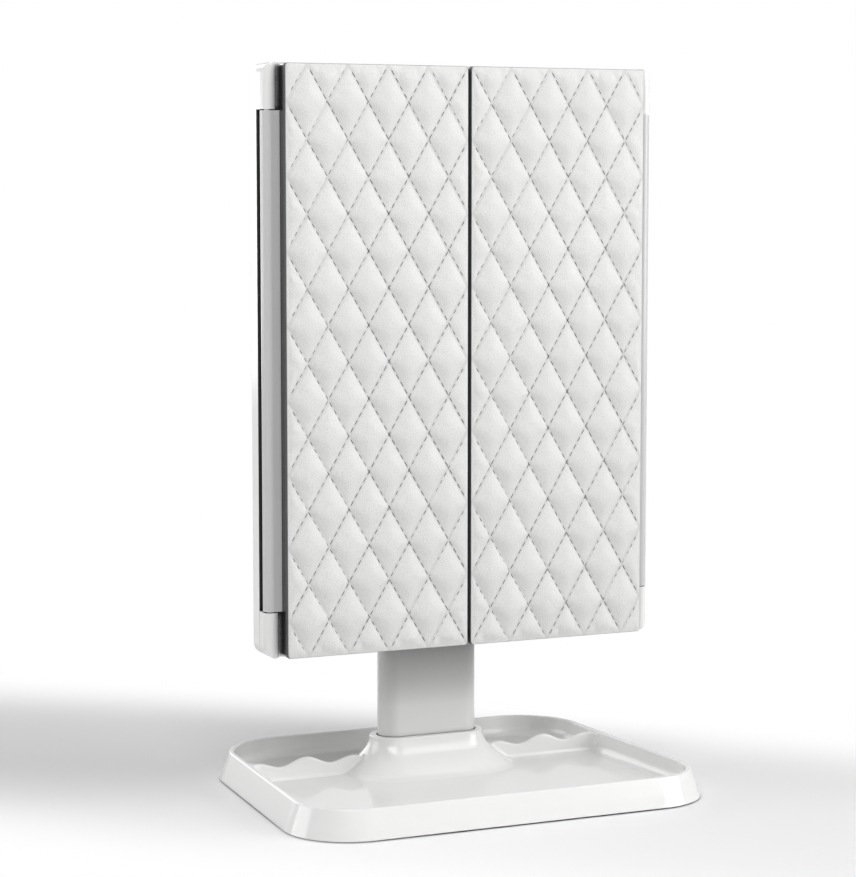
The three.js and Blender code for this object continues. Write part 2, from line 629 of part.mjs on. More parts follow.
function addPost(group) {
  group.add(piece('post', post(), FINISH.glossWhite));
  [-1, 1].forEach((side, i) => {
    const length = SOCKET_FLOOR + FIT + POST_SCREW_LENGTH - RUNNING;
    const geometry = screw(POST_SCREW_RADIUS, length, POST_SCREW_HEAD_RADIUS, POST_SCREW_HEAD);
    screwUp(geometry, side * POST_SCREW_X, POST_Y, TRAY_Z + SOCKET_FLOOR_LIFT - POST_SCREW_HEAD - GLUE);
    group.add(piece(`post_screw_${i + 1}`, geometry, FINISH.steel));
  });
}

const bracketScrewPlaces = () => fourPlaces(
  EAR_OUTER - BRACKET_SCREW_MARGIN,
  BRACKET_HEIGHT / 2 - BRACKET_SCREW_MARGIN,
  PIVOT_Z_IN_HEAD,
);

// Plate on the back of the head with two ears that hold the hinge pin.
function tiltBracket() {
  const plateBack = HEAD_DEPTH + GLUE + BRACKET_PLATE;
  const plate = slab(
    rectangle(2 * EAR_OUTER, BRACKET_HEIGHT, BRACKET_CORNER, 0, PIVOT_Z_IN_HEAD),
    HEAD_DEPTH + GLUE,
    plateBack,
  );
  const radius = POST_DEPTH / 2;
  const outline = [new THREE.Vector2(plateBack - PAST, PIVOT_Z_IN_HEAD - EAR_ROOT)];
  for (let k = 0; k <= 2 * CORNER_STEPS; k += 1) {
    const angle = THREE.MathUtils.degToRad(-135 + (270 * k) / (2 * CORNER_STEPS));
    outline.push(new THREE.Vector2(
      PIVOT_Y_IN_HEAD + radius * Math.cos(angle),
      PIVOT_Z_IN_HEAD + radius * Math.sin(angle),
    ));
  }
  outline.push(new THREE.Vector2(plateBack - PAST, PIVOT_Z_IN_HEAD + EAR_ROOT));
  const end = EAR_OUTER + PAST;
  const bore = crosswise(TILT_PIN_RADIUS + FIT, PIVOT_Y_IN_HEAD, PIVOT_Z_IN_HEAD, -end, end);
  const holes = bracketScrewPlaces().map(([x, z]) => lengthwise(
    BRACKET_SCREW_RADIUS + FIT, x, z, HEAD_DEPTH, plateBack + PAST, SCREW_SIDES,
  ));
  return cut(
    join(plate, bar(outline, EAR_INNER, EAR_OUTER), bar(outline, -EAR_OUTER, -EAR_INNER)),
    bore,
    ...holes,
  );
}

function tiltPin() {
  const shaft = crosswise(
    TILT_PIN_RADIUS, PIVOT_Y_IN_HEAD, PIVOT_Z_IN_HEAD, -EAR_OUTER - PAST, EAR_OUTER + TILT_CAP,
  );
  const head = crosswise(
    TILT_CAP_RADIUS, PIVOT_Y_IN_HEAD, PIVOT_Z_IN_HEAD, -EAR_OUTER - FIT - TILT_CAP, -EAR_OUTER - FIT,
  );
  return join(shaft, head);
}

function tiltNut() {
  const outside = crosswise(
    TILT_CAP_RADIUS, PIVOT_Y_IN_HEAD, PIVOT_Z_IN_HEAD, EAR_OUTER + FIT, EAR_OUTER + FIT + 2 * TILT_CAP, 6,
  );
  const bore = crosswise(
    TILT_PIN_RADIUS + FIT / 2, PIVOT_Y_IN_HEAD, PIVOT_Z_IN_HEAD, EAR_OUTER, EAR_OUTER + FIT + TILT_CAP,
  );
  return cut(outside, bore);
}

function washer(side) {
  const inner = KNUCKLE_WIDTH / 2 + FIT / 2;
  const ends = side < 0 ? [-inner - TILT_WASHER, -inner] : [inner, inner + TILT_WASHER];
  return cut(
    crosswise(TILT_WASHER_RADIUS, PIVOT_Y_IN_HEAD, PIVOT_Z_IN_HEAD, ...ends),
    crosswise(TILT_PIN_RADIUS + FIT, PIVOT_Y_IN_HEAD, PIVOT_Z_IN_HEAD, ends[0] - PAST, ends[1] + PAST),
  );
}

function addTiltHinge(group) {
  group.add(piece('tilt_bracket', tiltBracket(), FINISH.satinWhite));
  group.add(piece('tilt_pin', tiltPin(), FINISH.steel));
  group.add(piece('tilt_nut', tiltNut(), FINISH.steel));
  group.add(piece('friction_washer_left', washer(-1), FINISH.steel));
  group.add(piece('friction_washer_right', washer(1), FINISH.steel));
  bracketScrewPlaces().forEach(([x, z], i) => {
    const length = BRACKET_SCREW_LENGTH + BRACKET_PLATE;
    const geometry = screw(BRACKET_SCREW_RADIUS, length, BRACKET_SCREW_HEAD_RADIUS, BRACKET_SCREW_HEAD);
    geometry.rotateX(Math.PI);
    geometry.translate(x, HEAD_DEPTH + 2 * GLUE + BRACKET_PLATE + BRACKET_SCREW_HEAD, z);
    group.add(piece(`bracket_screw_${i + 1}`, geometry, FINISH.steel));
  });
}

const rearScrewPlaces = () => fourPlaces(
  HALF_CAVITY_X - REAR_BOSS_INSET,
  HALF_CAVITY_Z - REAR_BOSS_INSET,
);

const coverOutline = (inset) => rectangle(
  2 * (HALF_COVER_X - inset), 2 * (HALF_COVER_Z - inset), COVER_CORNER, 0, 0, SMALL_CORNER_STEPS,
);

// The rear tub of the head, with its back edge rounded.
function railBody() {
  const rings = [];
  const layer = (back, inset) => rings.push({
    z: -back,
    points: rectangle(
      2 * (HALF_RAIL - inset), 2 * (HALF_HEAD - inset), Math.max(HEAD_CORNER - inset, LEAST_CORNER),
    ),
  });
  for (let k = 0; k <= SMALL_CORNER_STEPS; k += 1) {
    const angle = (Math.PI / 2) * (k / SMALL_CORNER_STEPS);
    layer(
      HEAD_DEPTH - HEAD_BACK_ROUND * (1 - Math.cos(angle)),
      HEAD_BACK_ROUND * (1 - Math.sin(angle)),
    );
  }
  layer(RAIL_Y, 0);
  return loft(rings).applyMatrix4(TO_FRONT);
}

function knuckle(side, end) {
  const ends = end > 0 ? [KNUCKLE_END, HALF_HEAD] : [-HALF_HEAD, -KNUCKLE_END];
  const inner = side * (HALF_SPAN - PAST);
  const outer = side * HALF_RAIL;
  return join(
    upright(BARREL_RADIUS, side * HINGE_X, BARREL_BEHIND, ...ends),
    block([Math.min(inner, outer), Math.max(inner, outer)], [BARREL_BEHIND, RAIL_Y + PAST], ends),
  );
}

const corners = () => [-1, 1].flatMap((side) => [-1, 1].map((end) => [side, end]));

const hingeBores = () => corners().map(([side, end]) => upright(
  HINGE_PIN_RADIUS + FIT / 2,
  side * HINGE_X,
  BARREL_BEHIND,
  end > 0 ? HALF_HEAD - HINGE_PIN_RECESS - HINGE_PIN_LENGTH - PAST : -HALF_HEAD - PAST,
  end > 0 ? HALF_HEAD + PAST : -HALF_HEAD + HINGE_PIN_RECESS + HINGE_PIN_LENGTH + PAST,
  SCREW_SIDES,
));

function headFrame() {
  const front = slab(
    rectangle(2 * HALF_SPAN, 2 * HALF_HEAD, DOOR_CORNER, 0, 0, SMALL_CORNER_STEPS), FRAME_Y, RAIL_Y + PAST,
  );
  const whole = join(railBody(), front, ...corners().map(([side, end]) => knuckle(side, end)));
  const envelope = slab(rectangle(2 * HALF_RAIL, 2 * HALF_HEAD, HEAD_CORNER), 0, HEAD_DEPTH + PAST);
  const glassBed = slab(rectangle(2 * HALF_GLASS_X, 2 * HALF_GLASS_Z), FRAME_Y - PAST, SEAT_Y);
  const channels = [-1, 1].map((side) => block(
    span(side * CHANNEL_X, LIGHT_CHANNEL),
    [SEAT_Y - PAST, CHANNEL_Y],
    [-HALF_WINDOW_Z, HALF_WINDOW_Z],
  ));
  const halfWindow = CHANNEL_INNER_X - CHANNEL_LIP;
  const opening = block(span(0, 2 * halfWindow), [SEAT_Y - PAST, HEAD_DEPTH], span(0, 2 * HALF_WINDOW_Z));
  const cavity = slab(rectangle(2 * HALF_CAVITY_X, 2 * HALF_CAVITY_Z), CAVITY_Y, HEAD_DEPTH + PAST);
  const coverBed = slab(coverOutline(0), COVER_Y - GLUE, HEAD_DEPTH + PAST);
  const catchBed = block(
    [-catchReach() - GLUE, catchReach() + GLUE],
    [FRAME_Y - PAST, FRAME_Y + MAGNET_DEPTH + 2 * GLUE],
    span(CATCH_Z, MAGNET_HEIGHT + 2 * GLUE),
  );
  const bosses = rearScrewPlaces().map(([x, z]) => lengthwise(
    REAR_BOSS_RADIUS, x, z, CAVITY_Y - PAST, COVER_Y - GLUE, SCREW_SIDES,
  ));
  const pilotEnd = HEAD_DEPTH - REAR_SCREW_HEAD - REAR_SCREW_LENGTH - RUNNING;
  const pilots = rearScrewPlaces().map(([x, z]) => lengthwise(
    REAR_SCREW_RADIUS + FIT / 2, x, z, pilotEnd, HEAD_DEPTH, SCREW_SIDES,
  ));
  const shell = cut(common(whole, envelope), glassBed, ...channels, opening, cavity, coverBed, catchBed,
    ...hingeBores());
  return cut(join(shell, ...bosses), ...pilots);
}

const catchReach = () => DOOR_SEAM / 2 + BOARD_BORDER + MAGNET_LENGTH;

// Thin board with a row of light emitting diodes along its front.
function ledBoard(side) {
  const back = CHANNEL_Y - GLUE;
  const face = back - LED_BOARD_THICKNESS;
  const half = HALF_WINDOW_Z - LED_BOARD_MARGIN;
  const pitch = (2 * half) / LED_COUNT;
  const leds = Array.from({ length: LED_COUNT }, (_, i) => block(
    span(side * CHANNEL_X, LED_SIZE),
    [face - LED_HEIGHT, face + LED_HEIGHT],
    span((i + 0.5) * pitch - half, LED_SIZE),
  ));
  return join(block(span(side * CHANNEL_X, LED_BOARD_WIDTH), [face, back], [-half, half]), ...leds);
}

function addHeadFront(group) {
  group.add(piece('head_frame', headFrame(), FINISH.glossWhite));
  const glass = slab(
    rectangle(2 * (HALF_GLASS_X - FIT), 2 * (HALF_GLASS_Z - FIT)), FRAME_Y, GLASS_BACK_Y,
  );
  group.add(piece('main_mirror', glass, FINISH.mirror));
  [['left', -1], ['right', 1]].forEach(([name, side]) => {
    const diffuser = block(
      span(side * CHANNEL_X, LIGHT_CHANNEL - 2 * FIT),
      [SEAT_Y, SEAT_Y + DIFFUSER_THICKNESS],
      span(0, 2 * (HALF_WINDOW_Z - FIT)),
    );
    group.add(piece(`light_diffuser_${name}`, diffuser, FINISH.frosted));
    group.add(piece(`led_board_${name}`, ledBoard(side), FINISH.circuit));
  });
  const magnetFace = FRAME_Y + GLUE;
  group.add(piece('catch_magnet', block(
    [-catchReach(), catchReach()],
    [magnetFace, magnetFace + MAGNET_DEPTH],
    span(CATCH_Z, MAGNET_HEIGHT),
  ), FINISH.steel));
  corners().forEach(([side, end], i) => {
    const top = end * (HALF_HEAD - HINGE_PIN_RECESS);
    const ends = [top, top - end * HINGE_PIN_LENGTH].sort((a, b) => a - b);
    const pin = upright(HINGE_PIN_RADIUS, side * HINGE_X, BARREL_BEHIND, ...ends, SCREW_SIDES);
    group.add(piece(`hinge_pin_${i + 1}`, pin, FINISH.steel));
  });
}

// The battery bay hangs into the head behind its opening in the rear cover.
const batteryBay = () => block(
  [-HALF_BAY_X - BAY_WALL, HALF_BAY_X + BAY_WALL],
  [BAY_FLOOR_Y - BAY_WALL, COVER_Y + PAST],
  span(BAY_ABOVE, 2 * (HALF_BAY_Z + BAY_WALL)),
);

const inletOutline = (inset) => stadium(
  INLET_WIDTH - 2 * inset, INLET_HEIGHT - 2 * inset, INLET_X, BOARD_Z,
);

function rearCover() {
  const panel = slab(coverOutline(FIT), COVER_Y, HEAD_DEPTH);
  const bayHollow = block(
    [-HALF_BAY_X, HALF_BAY_X],
    [BAY_FLOOR_Y, HEAD_DEPTH + PAST],
    span(BAY_ABOVE, 2 * HALF_BAY_Z),
  );
  const bosses = bracketScrewPlaces().map(([x, z]) => lengthwise(
    BRACKET_SCREW_RADIUS + SHELL, x, z, COVER_Y - BRACKET_SCREW_LENGTH, COVER_Y + PAST, SCREW_SIDES,
  ));
  const standoffs = fourPlaces(
    BOARD_WIDTH / 2 - STANDOFF_INSET, BOARD_TALL / 2 - STANDOFF_INSET, BOARD_Z,
  ).map(([x, z]) => lengthwise(
    STANDOFF_RADIUS, BOARD_X + x, z, PCB_BACK_Y + GLUE, COVER_Y + PAST, SCREW_SIDES,
  ));
  const pilotEnd = COVER_Y - BRACKET_SCREW_LENGTH - PAST;
  const bracketHoles = bracketScrewPlaces().map(([x, z]) => lengthwise(
    BRACKET_SCREW_RADIUS + FIT / 2, x, z, pilotEnd, HEAD_DEPTH + PAST, SCREW_SIDES,
  ));
  const cornerHoles = rearScrewPlaces().flatMap(([x, z]) => [
    lengthwise(REAR_SCREW_RADIUS + FIT, x, z, COVER_Y - PAST, HEAD_DEPTH + PAST, SCREW_SIDES),
    lengthwise(
      REAR_SCREW_HEAD_RADIUS + FIT, x, z, HEAD_DEPTH - REAR_SCREW_HEAD - GLUE, HEAD_DEPTH + PAST, SCREW_SIDES,
    ),
  ]);
  const buttonHole = lengthwise(BUTTON_RADIUS + FIT, BUTTON_X, BOARD_Z, COVER_Y - PAST, HEAD_DEPTH + PAST);
  const inletHole = slab(inletOutline(-FIT), COVER_Y - PAST, HEAD_DEPTH + PAST);
  const tabSlots = [-1, 1].map((side) => block(
    span(side * TAB_X, BATTERY_DOOR_LIP + 2 * FIT),
    [COVER_Y - PAST, HEAD_DEPTH + PAST],
    [BAY_ABOVE - HALF_BAY_Z / 2 - FIT, BAY_ABOVE + HALF_BAY_Z / 2 + BATTERY_DOOR_TRAVEL + FIT],
  ));
  return cut(
    join(panel, batteryBay(), ...bosses, ...standoffs),
    bayHollow, ...bracketHoles, ...cornerHoles, buttonHole, inletHole, ...tabSlots,
  );
}

// A cell lies across the bay, each one the other way round from its neighbour.
function cell(index) {
  const z = BAY_ABOVE + (index - (CELL_COUNT - 1) / 2) * CELL_PITCH;
  const way = index % 2 === 0 ? 1 : -1;
  const nubEnds = [way * (CELL_LENGTH / 2 - PAST), way * (CELL_LENGTH / 2 + CELL_NUB)];
  return join(
    crosswise(CELL_RADIUS, CELL_Y, z, -CELL_LENGTH / 2, CELL_LENGTH / 2),
    crosswise(CELL_NUB_RADIUS, CELL_Y, z, Math.min(...nubEnds), Math.max(...nubEnds), SCREW_SIDES),
  );
}

// A contact plate stands at the end of the bay with a bump for each cell.
function contactPlate() {
  const plate = block(
    [CONTACT_X, CONTACT_X + CONTACT_THICKNESS],
    span(CELL_Y, CONTACT_HEIGHT),
    span(BAY_ABOVE, 2 * HALF_BAY_Z - 2 * FIT),
  );
  const bumps = Array.from({ length: CELL_COUNT }, (_, i) => crosswise(
    CELL_NUB_RADIUS,
    CELL_Y,
    BAY_ABOVE + (i - (CELL_COUNT - 1) / 2) * CELL_PITCH,
    CONTACT_X - CONTACT_BUMP,
    CONTACT_X + CONTACT_THICKNESS / 2,
    SCREW_SIDES,
  ));
  return join(plate, ...bumps);
}

function batteryDoor() {
  const front = HEAD_DEPTH + FIT;
  const width = 2 * (TAB_X + BATTERY_DOOR_LIP);
  const height = 2 * (HALF_BAY_Z + BATTERY_DOOR_LIP);
  const outline = rectangle(width, height, BATTERY_DOOR_CORNER, 0, BAY_ABOVE, SMALL_CORNER_STEPS);
  const lid = slab(outline, front, front + BATTERY_DOOR);
  const tabs = [-1, 1].map((side) => block(
    span(side * TAB_X, BATTERY_DOOR_LIP),
    [COVER_Y, front + BATTERY_DOOR / 2],
    span(BAY_ABOVE, HALF_BAY_Z),
  ));
  const grips = [-1, 0, 1].map((row) => block(
    span(0, GRIP_WIDTH),
    [front + BATTERY_DOOR - GRIP_DEPTH, front + BATTERY_DOOR + PAST],
    span(BAY_ABOVE - HALF_BAY_Z / 2 + row * GRIP_PITCH, GRIP_HEIGHT),
  ));
  return cut(join(lid, ...tabs), ...grips);
}

function powerButton() {
  const back = HEAD_DEPTH + BUTTON_STANDOUT;
  const flangeBack = COVER_Y - FIT;
  const stemFront = PCB_BACK_Y + GLUE + SWITCH_HEIGHT + BUTTON_TRAVEL + FIT;
  return join(
    lengthwise(BUTTON_RADIUS, BUTTON_X, BOARD_Z, flangeBack - BUTTON_FLANGE / 2, back),
    lengthwise(BUTTON_RADIUS + BUTTON_FLANGE, BUTTON_X, BOARD_Z, flangeBack - BUTTON_FLANGE, flangeBack),
    lengthwise(STEM_RADIUS, BUTTON_X, BOARD_Z, stemFront, flangeBack - BUTTON_FLANGE / 2, SCREW_SIDES),
  );
}

function powerInlet() {
  const front = PCB_BACK_Y + GLUE;
  return cut(
    slab(inletOutline(0), front, HEAD_DEPTH - GLUE),
    slab(inletOutline(INLET_WALL), front + INLET_WALL, HEAD_DEPTH + PAST),
  );
}

function addHeadBack(group) {
  group.add(piece('rear_cover', rearCover(), FINISH.satinWhite));
  rearScrewPlaces().forEach(([x, z], i) => {
    const geometry = screw(REAR_SCREW_RADIUS, REAR_SCREW_LENGTH, REAR_SCREW_HEAD_RADIUS, REAR_SCREW_HEAD);
    geometry.rotateX(Math.PI).translate(x, HEAD_DEPTH, z);
    group.add(piece(`rear_screw_${i + 1}`, geometry, FINISH.steel));
  });
  for (let i = 0; i < CELL_COUNT; i += 1) {
    group.add(piece(`battery_cell_${i + 1}`, cell(i), FINISH.cell));
  }
  group.add(piece('battery_contact_right', contactPlate(), FINISH.steel));
  group.add(piece('battery_contact_left', mirrored(contactPlate()), FINISH.steel));
  group.add(piece('battery_door', batteryDoor(), FINISH.satinWhite));
  group.add(piece('control_board', block(
    span(BOARD_X, BOARD_WIDTH), [PCB_BACK_Y - PCB_THICKNESS, PCB_BACK_Y], span(BOARD_Z, BOARD_TALL),
  ), FINISH.circuit));
  group.add(piece('power_switch', block(
    span(BUTTON_X, SWITCH_SIZE),
    [PCB_BACK_Y + GLUE, PCB_BACK_Y + GLUE + SWITCH_HEIGHT],
    span(BOARD_Z, SWITCH_SIZE),
  ), FINISH.circuit));
  group.add(piece('power_button', powerButton(), FINISH.glossWhite));
  group.add(piece('power_inlet', powerInlet(), FINISH.steel));
}

// Outline sizes of the right door, which the left door mirrors.
const DOOR_WIDTH = HALF_SPAN - DOOR_SEAM / 2;
const DOOR_X = (HALF_SPAN + DOOR_SEAM / 2) / 2;
const DOOR_FRAME_Y = PAD_THICKNESS + GLUE;
const DOOR_GLASS_Y = DOOR_THICKNESS - DOOR_GLASS;
const DOOR_WEB_Y = DOOR_GLASS_Y - GLUE - DOOR_WEB;

const doorOutline = (inset, radius) => rectangle(
  DOOR_WIDTH - 2 * inset, DOOR_HEIGHT - 2 * inset, radius, DOOR_X, 0, SMALL_CORNER_STEPS,
);

function doorMagnetBox(clearance) {
  const near = DOOR_SEAM / 2 + BOARD_BORDER;
  return [
    [near - clearance, near + MAGNET_LENGTH + clearance],
    [DOOR_WEB_Y - GLUE - MAGNET_DEPTH, DOOR_WEB_Y - GLUE + clearance],
    span(CATCH_Z, MAGNET_HEIGHT + 2 * clearance),
  ];
}

function doorFrame() {
  const panel = slab(doorOutline(0, DOOR_CORNER), DOOR_FRAME_Y, DOOR_THICKNESS);
  const half = KNUCKLE_END - RUNNING;
  const barrel = upright(BARREL_RADIUS, HINGE_X, BARREL_BEHIND, -half, half);
  const webDepth = [DOOR_THICKNESS - WEB_THICKNESS, DOOR_THICKNESS];
  const web = block([HALF_SPAN - PAST, HINGE_X], webDepth, [-half, half]);
  const glassBed = slab(doorOutline(DOOR_GLASS_BORDER, 0), DOOR_GLASS_Y - GLUE, DOOR_THICKNESS + PAST);
  const boardBed = slab(doorOutline(BOARD_BORDER + MAGNET_HEIGHT, 0), 0, DOOR_WEB_Y);
  const [x, y, z] = doorMagnetBox(FIT / 2);
  const magnetBed = block(x, [0, y[1]], z);
  return cut(join(panel, barrel, web), glassBed, boardBed, magnetBed, ...hingeBores());
}

// Height of the quilting over its stitches, by the place within a diamond.
function quiltPuff(s, t) {
  const across = Math.sin(Math.PI * (s - Math.floor(s)));
  const along = Math.sin(Math.PI * (t - Math.floor(t)));
  return PAD_PUFF * Math.sqrt(Math.max(across * along, 0));
}

// Padded cover of the right door. Its grid's diagonals are the stitch lines, and its sides draw in.
function quiltedPad() {
  const columns = Math.round(QUILT_COLUMNS * 2) * QUILT_CUTS;
  const rows = QUILT_ROWS * 2 * QUILT_CUTS;
  const positions = [];
  const index = [];
  const number = new Map();
  const place = (a, b) => [
    DOOR_SEAM / 2 + (DOOR_WIDTH * a) / columns,
    -HALF_DOOR + (DOOR_HEIGHT * b) / rows,
  ];
  const onEdge = (a, b) => a === 0 || b === 0 || a === columns || b === rows;
  const drawIn = ([x, z]) => [
    DOOR_X + (x - DOOR_X) * (1 - (2 * PAD_EDGE_DRAW) / DOOR_WIDTH),
    z * (1 - (2 * PAD_EDGE_DRAW) / DOOR_HEIGHT),
  ];
  const isCorner = (a, b) => (a === 0 || a === columns) && (b === 0 || b === rows);
  const vertex = (a, b) => {
    const key = `${a},${b}`;
    if (!number.has(key)) {
      const cell = 2 * QUILT_CUTS;
      const puff = onEdge(a, b) ? 0 : quiltPuff((a + b) / cell, (a - b) / cell);
      const [x, z] = onEdge(a, b) ? drawIn(place(a, b)) : place(a, b);
      number.set(key, positions.length / 3);
      positions.push(x, -puff, z);
    }
    return number.get(key);
  };
  const inside = (a, b) => a >= 0 && b >= 0 && a <= columns && b <= rows;
  const exists = (a, b) => inside(a, b) && ((a + b) % 2 === 0 || isCorner(a, b));
  const corner = (a, b) => (exists(a, b) ? vertex(a, b) : -1);
  for (let a = 0; a <= columns; a += 1) {
    for (let b = 0; b <= rows; b += 1) {
      if ((a + b) % 2 === 1) {
        const around = [corner(a - 1, b), corner(a, b - 1), corner(a + 1, b), corner(a, b + 1)];
        const ring = isCorner(a, b) ? [] : around.filter((v) => v >= 0);
        for (let k = 2; k < ring.length; k += 1) {
          index.push(ring[0], ring[k - 1], ring[k]);
        }
      }
    }
  }
  corners().forEach(([side, end]) => {
    const a = side > 0 ? columns : 0;
    const b = end > 0 ? rows : 0;
    if ((a + b) % 2 === 1) {
      const ring = [vertex(a, b), vertex(a - side, b), vertex(a, b - end)];
      index.push(...(side * end > 0 ? [ring[0], ring[1], ring[2]] : [ring[0], ring[2], ring[1]]));
    }
  });
  return closePad(positions, index, edgeLoop(columns, rows, exists, vertex, place));
}

// The points along the edge of the grid, anticlockwise as seen from the front.
function edgeLoop(columns, rows, exists, vertex, place) {
  const loop = [];
  const visit = (a, b) => exists(a, b) && loop.push({ id: vertex(a, b), at: place(a, b) });
  for (let a = 0; a < columns; a += 1) visit(a, 0);
  for (let b = 0; b < rows; b += 1) visit(columns, b);
  for (let a = columns; a > 0; a -= 1) visit(a, rows);
  for (let b = rows; b > 0; b -= 1) visit(0, b);
  return loop;
}

// Closes the quilted face with sides that swell to the full outline, and a flat back.
function closePad(positions, index, loop) {
  const rings = [PAD_SHOULDER, PAD_THICKNESS].map((depth) => loop.map(({ at }) => {
    positions.push(at[0], depth, at[1]);
    return positions.length / 3 - 1;
  }));
  const levels = [loop.map(({ id }) => id), ...rings];
  for (let level = 0; level + 1 < levels.length; level += 1) {
    loop.forEach((_, i) => {
      const next = (i + 1) % loop.length;
      const [near, far] = [levels[level], levels[level + 1]];
      index.push(near[i], far[i], far[next], near[i], far[next], near[next]);
    });
  }
  const middle = positions.length / 3;
  positions.push(DOOR_X, PAD_THICKNESS, 0);
  rings[1].forEach((id, i) => index.push(middle, rings[1][(i + 1) % loop.length], id));
  const geometry = new THREE.BufferGeometry();
  geometry.setAttribute('position', new THREE.Float32BufferAttribute(positions, 3));
  geometry.setIndex(index);
  geometry.computeVertexNormals();
  return geometry;
}

function addDoor(group, name, hand) {
  const glass = slab(doorOutline(DOOR_GLASS_BORDER + FIT, 0), DOOR_GLASS_Y, DOOR_THICKNESS);
  const boardBack = DOOR_WEB_Y - GLUE;
  const board = slab(
    doorOutline(BOARD_BORDER + MAGNET_HEIGHT + FIT, 0), boardBack - BOARD_THICKNESS, boardBack,
  );
  group.add(piece(`${name}_door_frame`, hand(doorFrame()), FINISH.glossWhite));
  group.add(piece(`${name}_door_mirror`, hand(glass), FINISH.mirror));
  group.add(piece(`${name}_door_board`, hand(board), FINISH.board));
  group.add(piece(`${name}_door_pad`, hand(quiltedPad()), FINISH.leather));
  group.add(piece(`${name}_door_magnet`, hand(block(...doorMagnetBox(0))), FINISH.steel));
}

const stand = new THREE.Group();
addBase(stand);
addPost(stand);

const head = new THREE.Group();
head.position.set(0, HEAD_FRONT_Y, HEAD_MID_Z);
addTiltHinge(head);
addHeadFront(head);
addHeadBack(head);
addDoor(head, 'left', mirrored);
addDoor(head, 'right', (geometry) => geometry);

const vanityMirror = new THREE.Group();
vanityMirror.add(stand, head);

export default vanityMirror;
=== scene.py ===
"""Looks of a folding vanity mirror with quilted doors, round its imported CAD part.

The tray, the quilted pads and the screws are modelled here and stand for their CAD nodes, and the
stitching is added. The other nodes stay and get rounded edges and a finish. Sizes are in millimetres and
are turned to metres where a mesh is made. The origin is on the table under the middle of the tray, +Z is up
and the front faces -Y.
"""

from __future__ import annotations

import json
import logging
import math
from collections.abc import Callable, Iterable, Iterator
from contextlib import contextmanager
from dataclasses import dataclass
from enum import Enum

import bmesh
import bpy
import numpy as np
from bpy.types import Material, MeshEdge, Node, NodeSocket, NodeTree, Object, World
from mathutils import Matrix, Vector

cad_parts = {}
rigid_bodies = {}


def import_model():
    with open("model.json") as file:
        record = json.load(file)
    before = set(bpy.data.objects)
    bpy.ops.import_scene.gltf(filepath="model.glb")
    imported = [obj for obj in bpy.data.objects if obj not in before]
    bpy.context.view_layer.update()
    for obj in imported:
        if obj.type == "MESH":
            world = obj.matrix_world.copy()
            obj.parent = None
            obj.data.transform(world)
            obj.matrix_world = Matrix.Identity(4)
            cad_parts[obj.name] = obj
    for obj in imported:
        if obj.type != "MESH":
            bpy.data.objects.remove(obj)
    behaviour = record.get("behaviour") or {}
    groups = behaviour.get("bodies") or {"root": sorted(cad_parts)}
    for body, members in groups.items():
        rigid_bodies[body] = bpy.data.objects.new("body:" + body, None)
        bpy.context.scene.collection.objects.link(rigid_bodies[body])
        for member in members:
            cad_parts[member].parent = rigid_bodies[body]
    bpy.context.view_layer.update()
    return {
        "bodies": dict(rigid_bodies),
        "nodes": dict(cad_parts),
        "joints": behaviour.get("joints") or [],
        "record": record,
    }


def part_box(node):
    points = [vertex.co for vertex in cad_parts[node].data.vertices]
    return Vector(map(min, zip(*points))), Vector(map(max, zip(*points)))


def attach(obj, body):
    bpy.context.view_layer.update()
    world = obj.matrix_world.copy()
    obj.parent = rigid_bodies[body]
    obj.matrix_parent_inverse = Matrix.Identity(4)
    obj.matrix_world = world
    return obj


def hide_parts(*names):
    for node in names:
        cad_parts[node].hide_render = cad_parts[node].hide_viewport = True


LOG = logging.getLogger("vanity_mirror")
MM = 0.001
FRAME_WIDTH, FRAME_HEIGHT = 856, 877
PHOSPHOR_Y = -8.65
SAME_PLACE = 1e-6


# Shared helpers


def linear(colour: str) -> tuple[float, float, float, float]:
    """Turns an sRGB hex colour to linear.

    Args:
        colour: The colour as #RRGGBB.

    Returns:
        Linear red, green, blue and an alpha of 1.
    """
    channels = [int(colour[i : i + 2], 16) / 255 for i in (1, 3, 5)]
    red, green, blue = (c / 12.92 if c <= 0.04045 else ((c + 0.055) / 1.055) ** 2.4 for c in channels)
    return red, green, blue, 1.0


def add_node(
    tree: NodeTree,
    kind: str,
    settings: dict[str | int, object] | None = None,
    links: dict[str | int, NodeSocket] | None = None,
) -> Node:
    """Adds a node with its settings and links.

    Args:
        tree: The tree that gets the node.
        kind: The node's type name.
        settings: Properties of the node or values of its inputs.
        links: The socket that feeds each input.

    Returns:
        The new node.
    """
    node = tree.nodes.new(kind)
    for key, value in (settings or {}).items():
        if isinstance(key, str) and key in node.bl_rna.properties:
            setattr(node, key, value)
        else:
            node.inputs[key].default_value = value
    for key, socket in (links or {}).items():
        tree.links.new(socket, node.inputs[key])
    return node


def empty_tree(owner: Material | World) -> NodeTree:
    """Gives a material or a world an empty tree."""
    owner.use_nodes = True
    owner.node_tree.nodes.clear()
    return owner.node_tree


def select_only(obj: Object) -> None:
    """Selects one object and makes it active."""
    bpy.ops.object.select_all(action="DESELECT")
    obj.select_set(True)
    bpy.context.view_layer.objects.active = obj


@contextmanager
def editing(obj: Object) -> Iterator[None]:
    """Holds one object in edit mode.

    Args:
        obj: The mesh object.

    Yields:
        Nothing.
    """
    select_only(obj)
    bpy.ops.object.mode_set(mode="EDIT")
    yield
    bpy.ops.object.mode_set(mode="OBJECT")


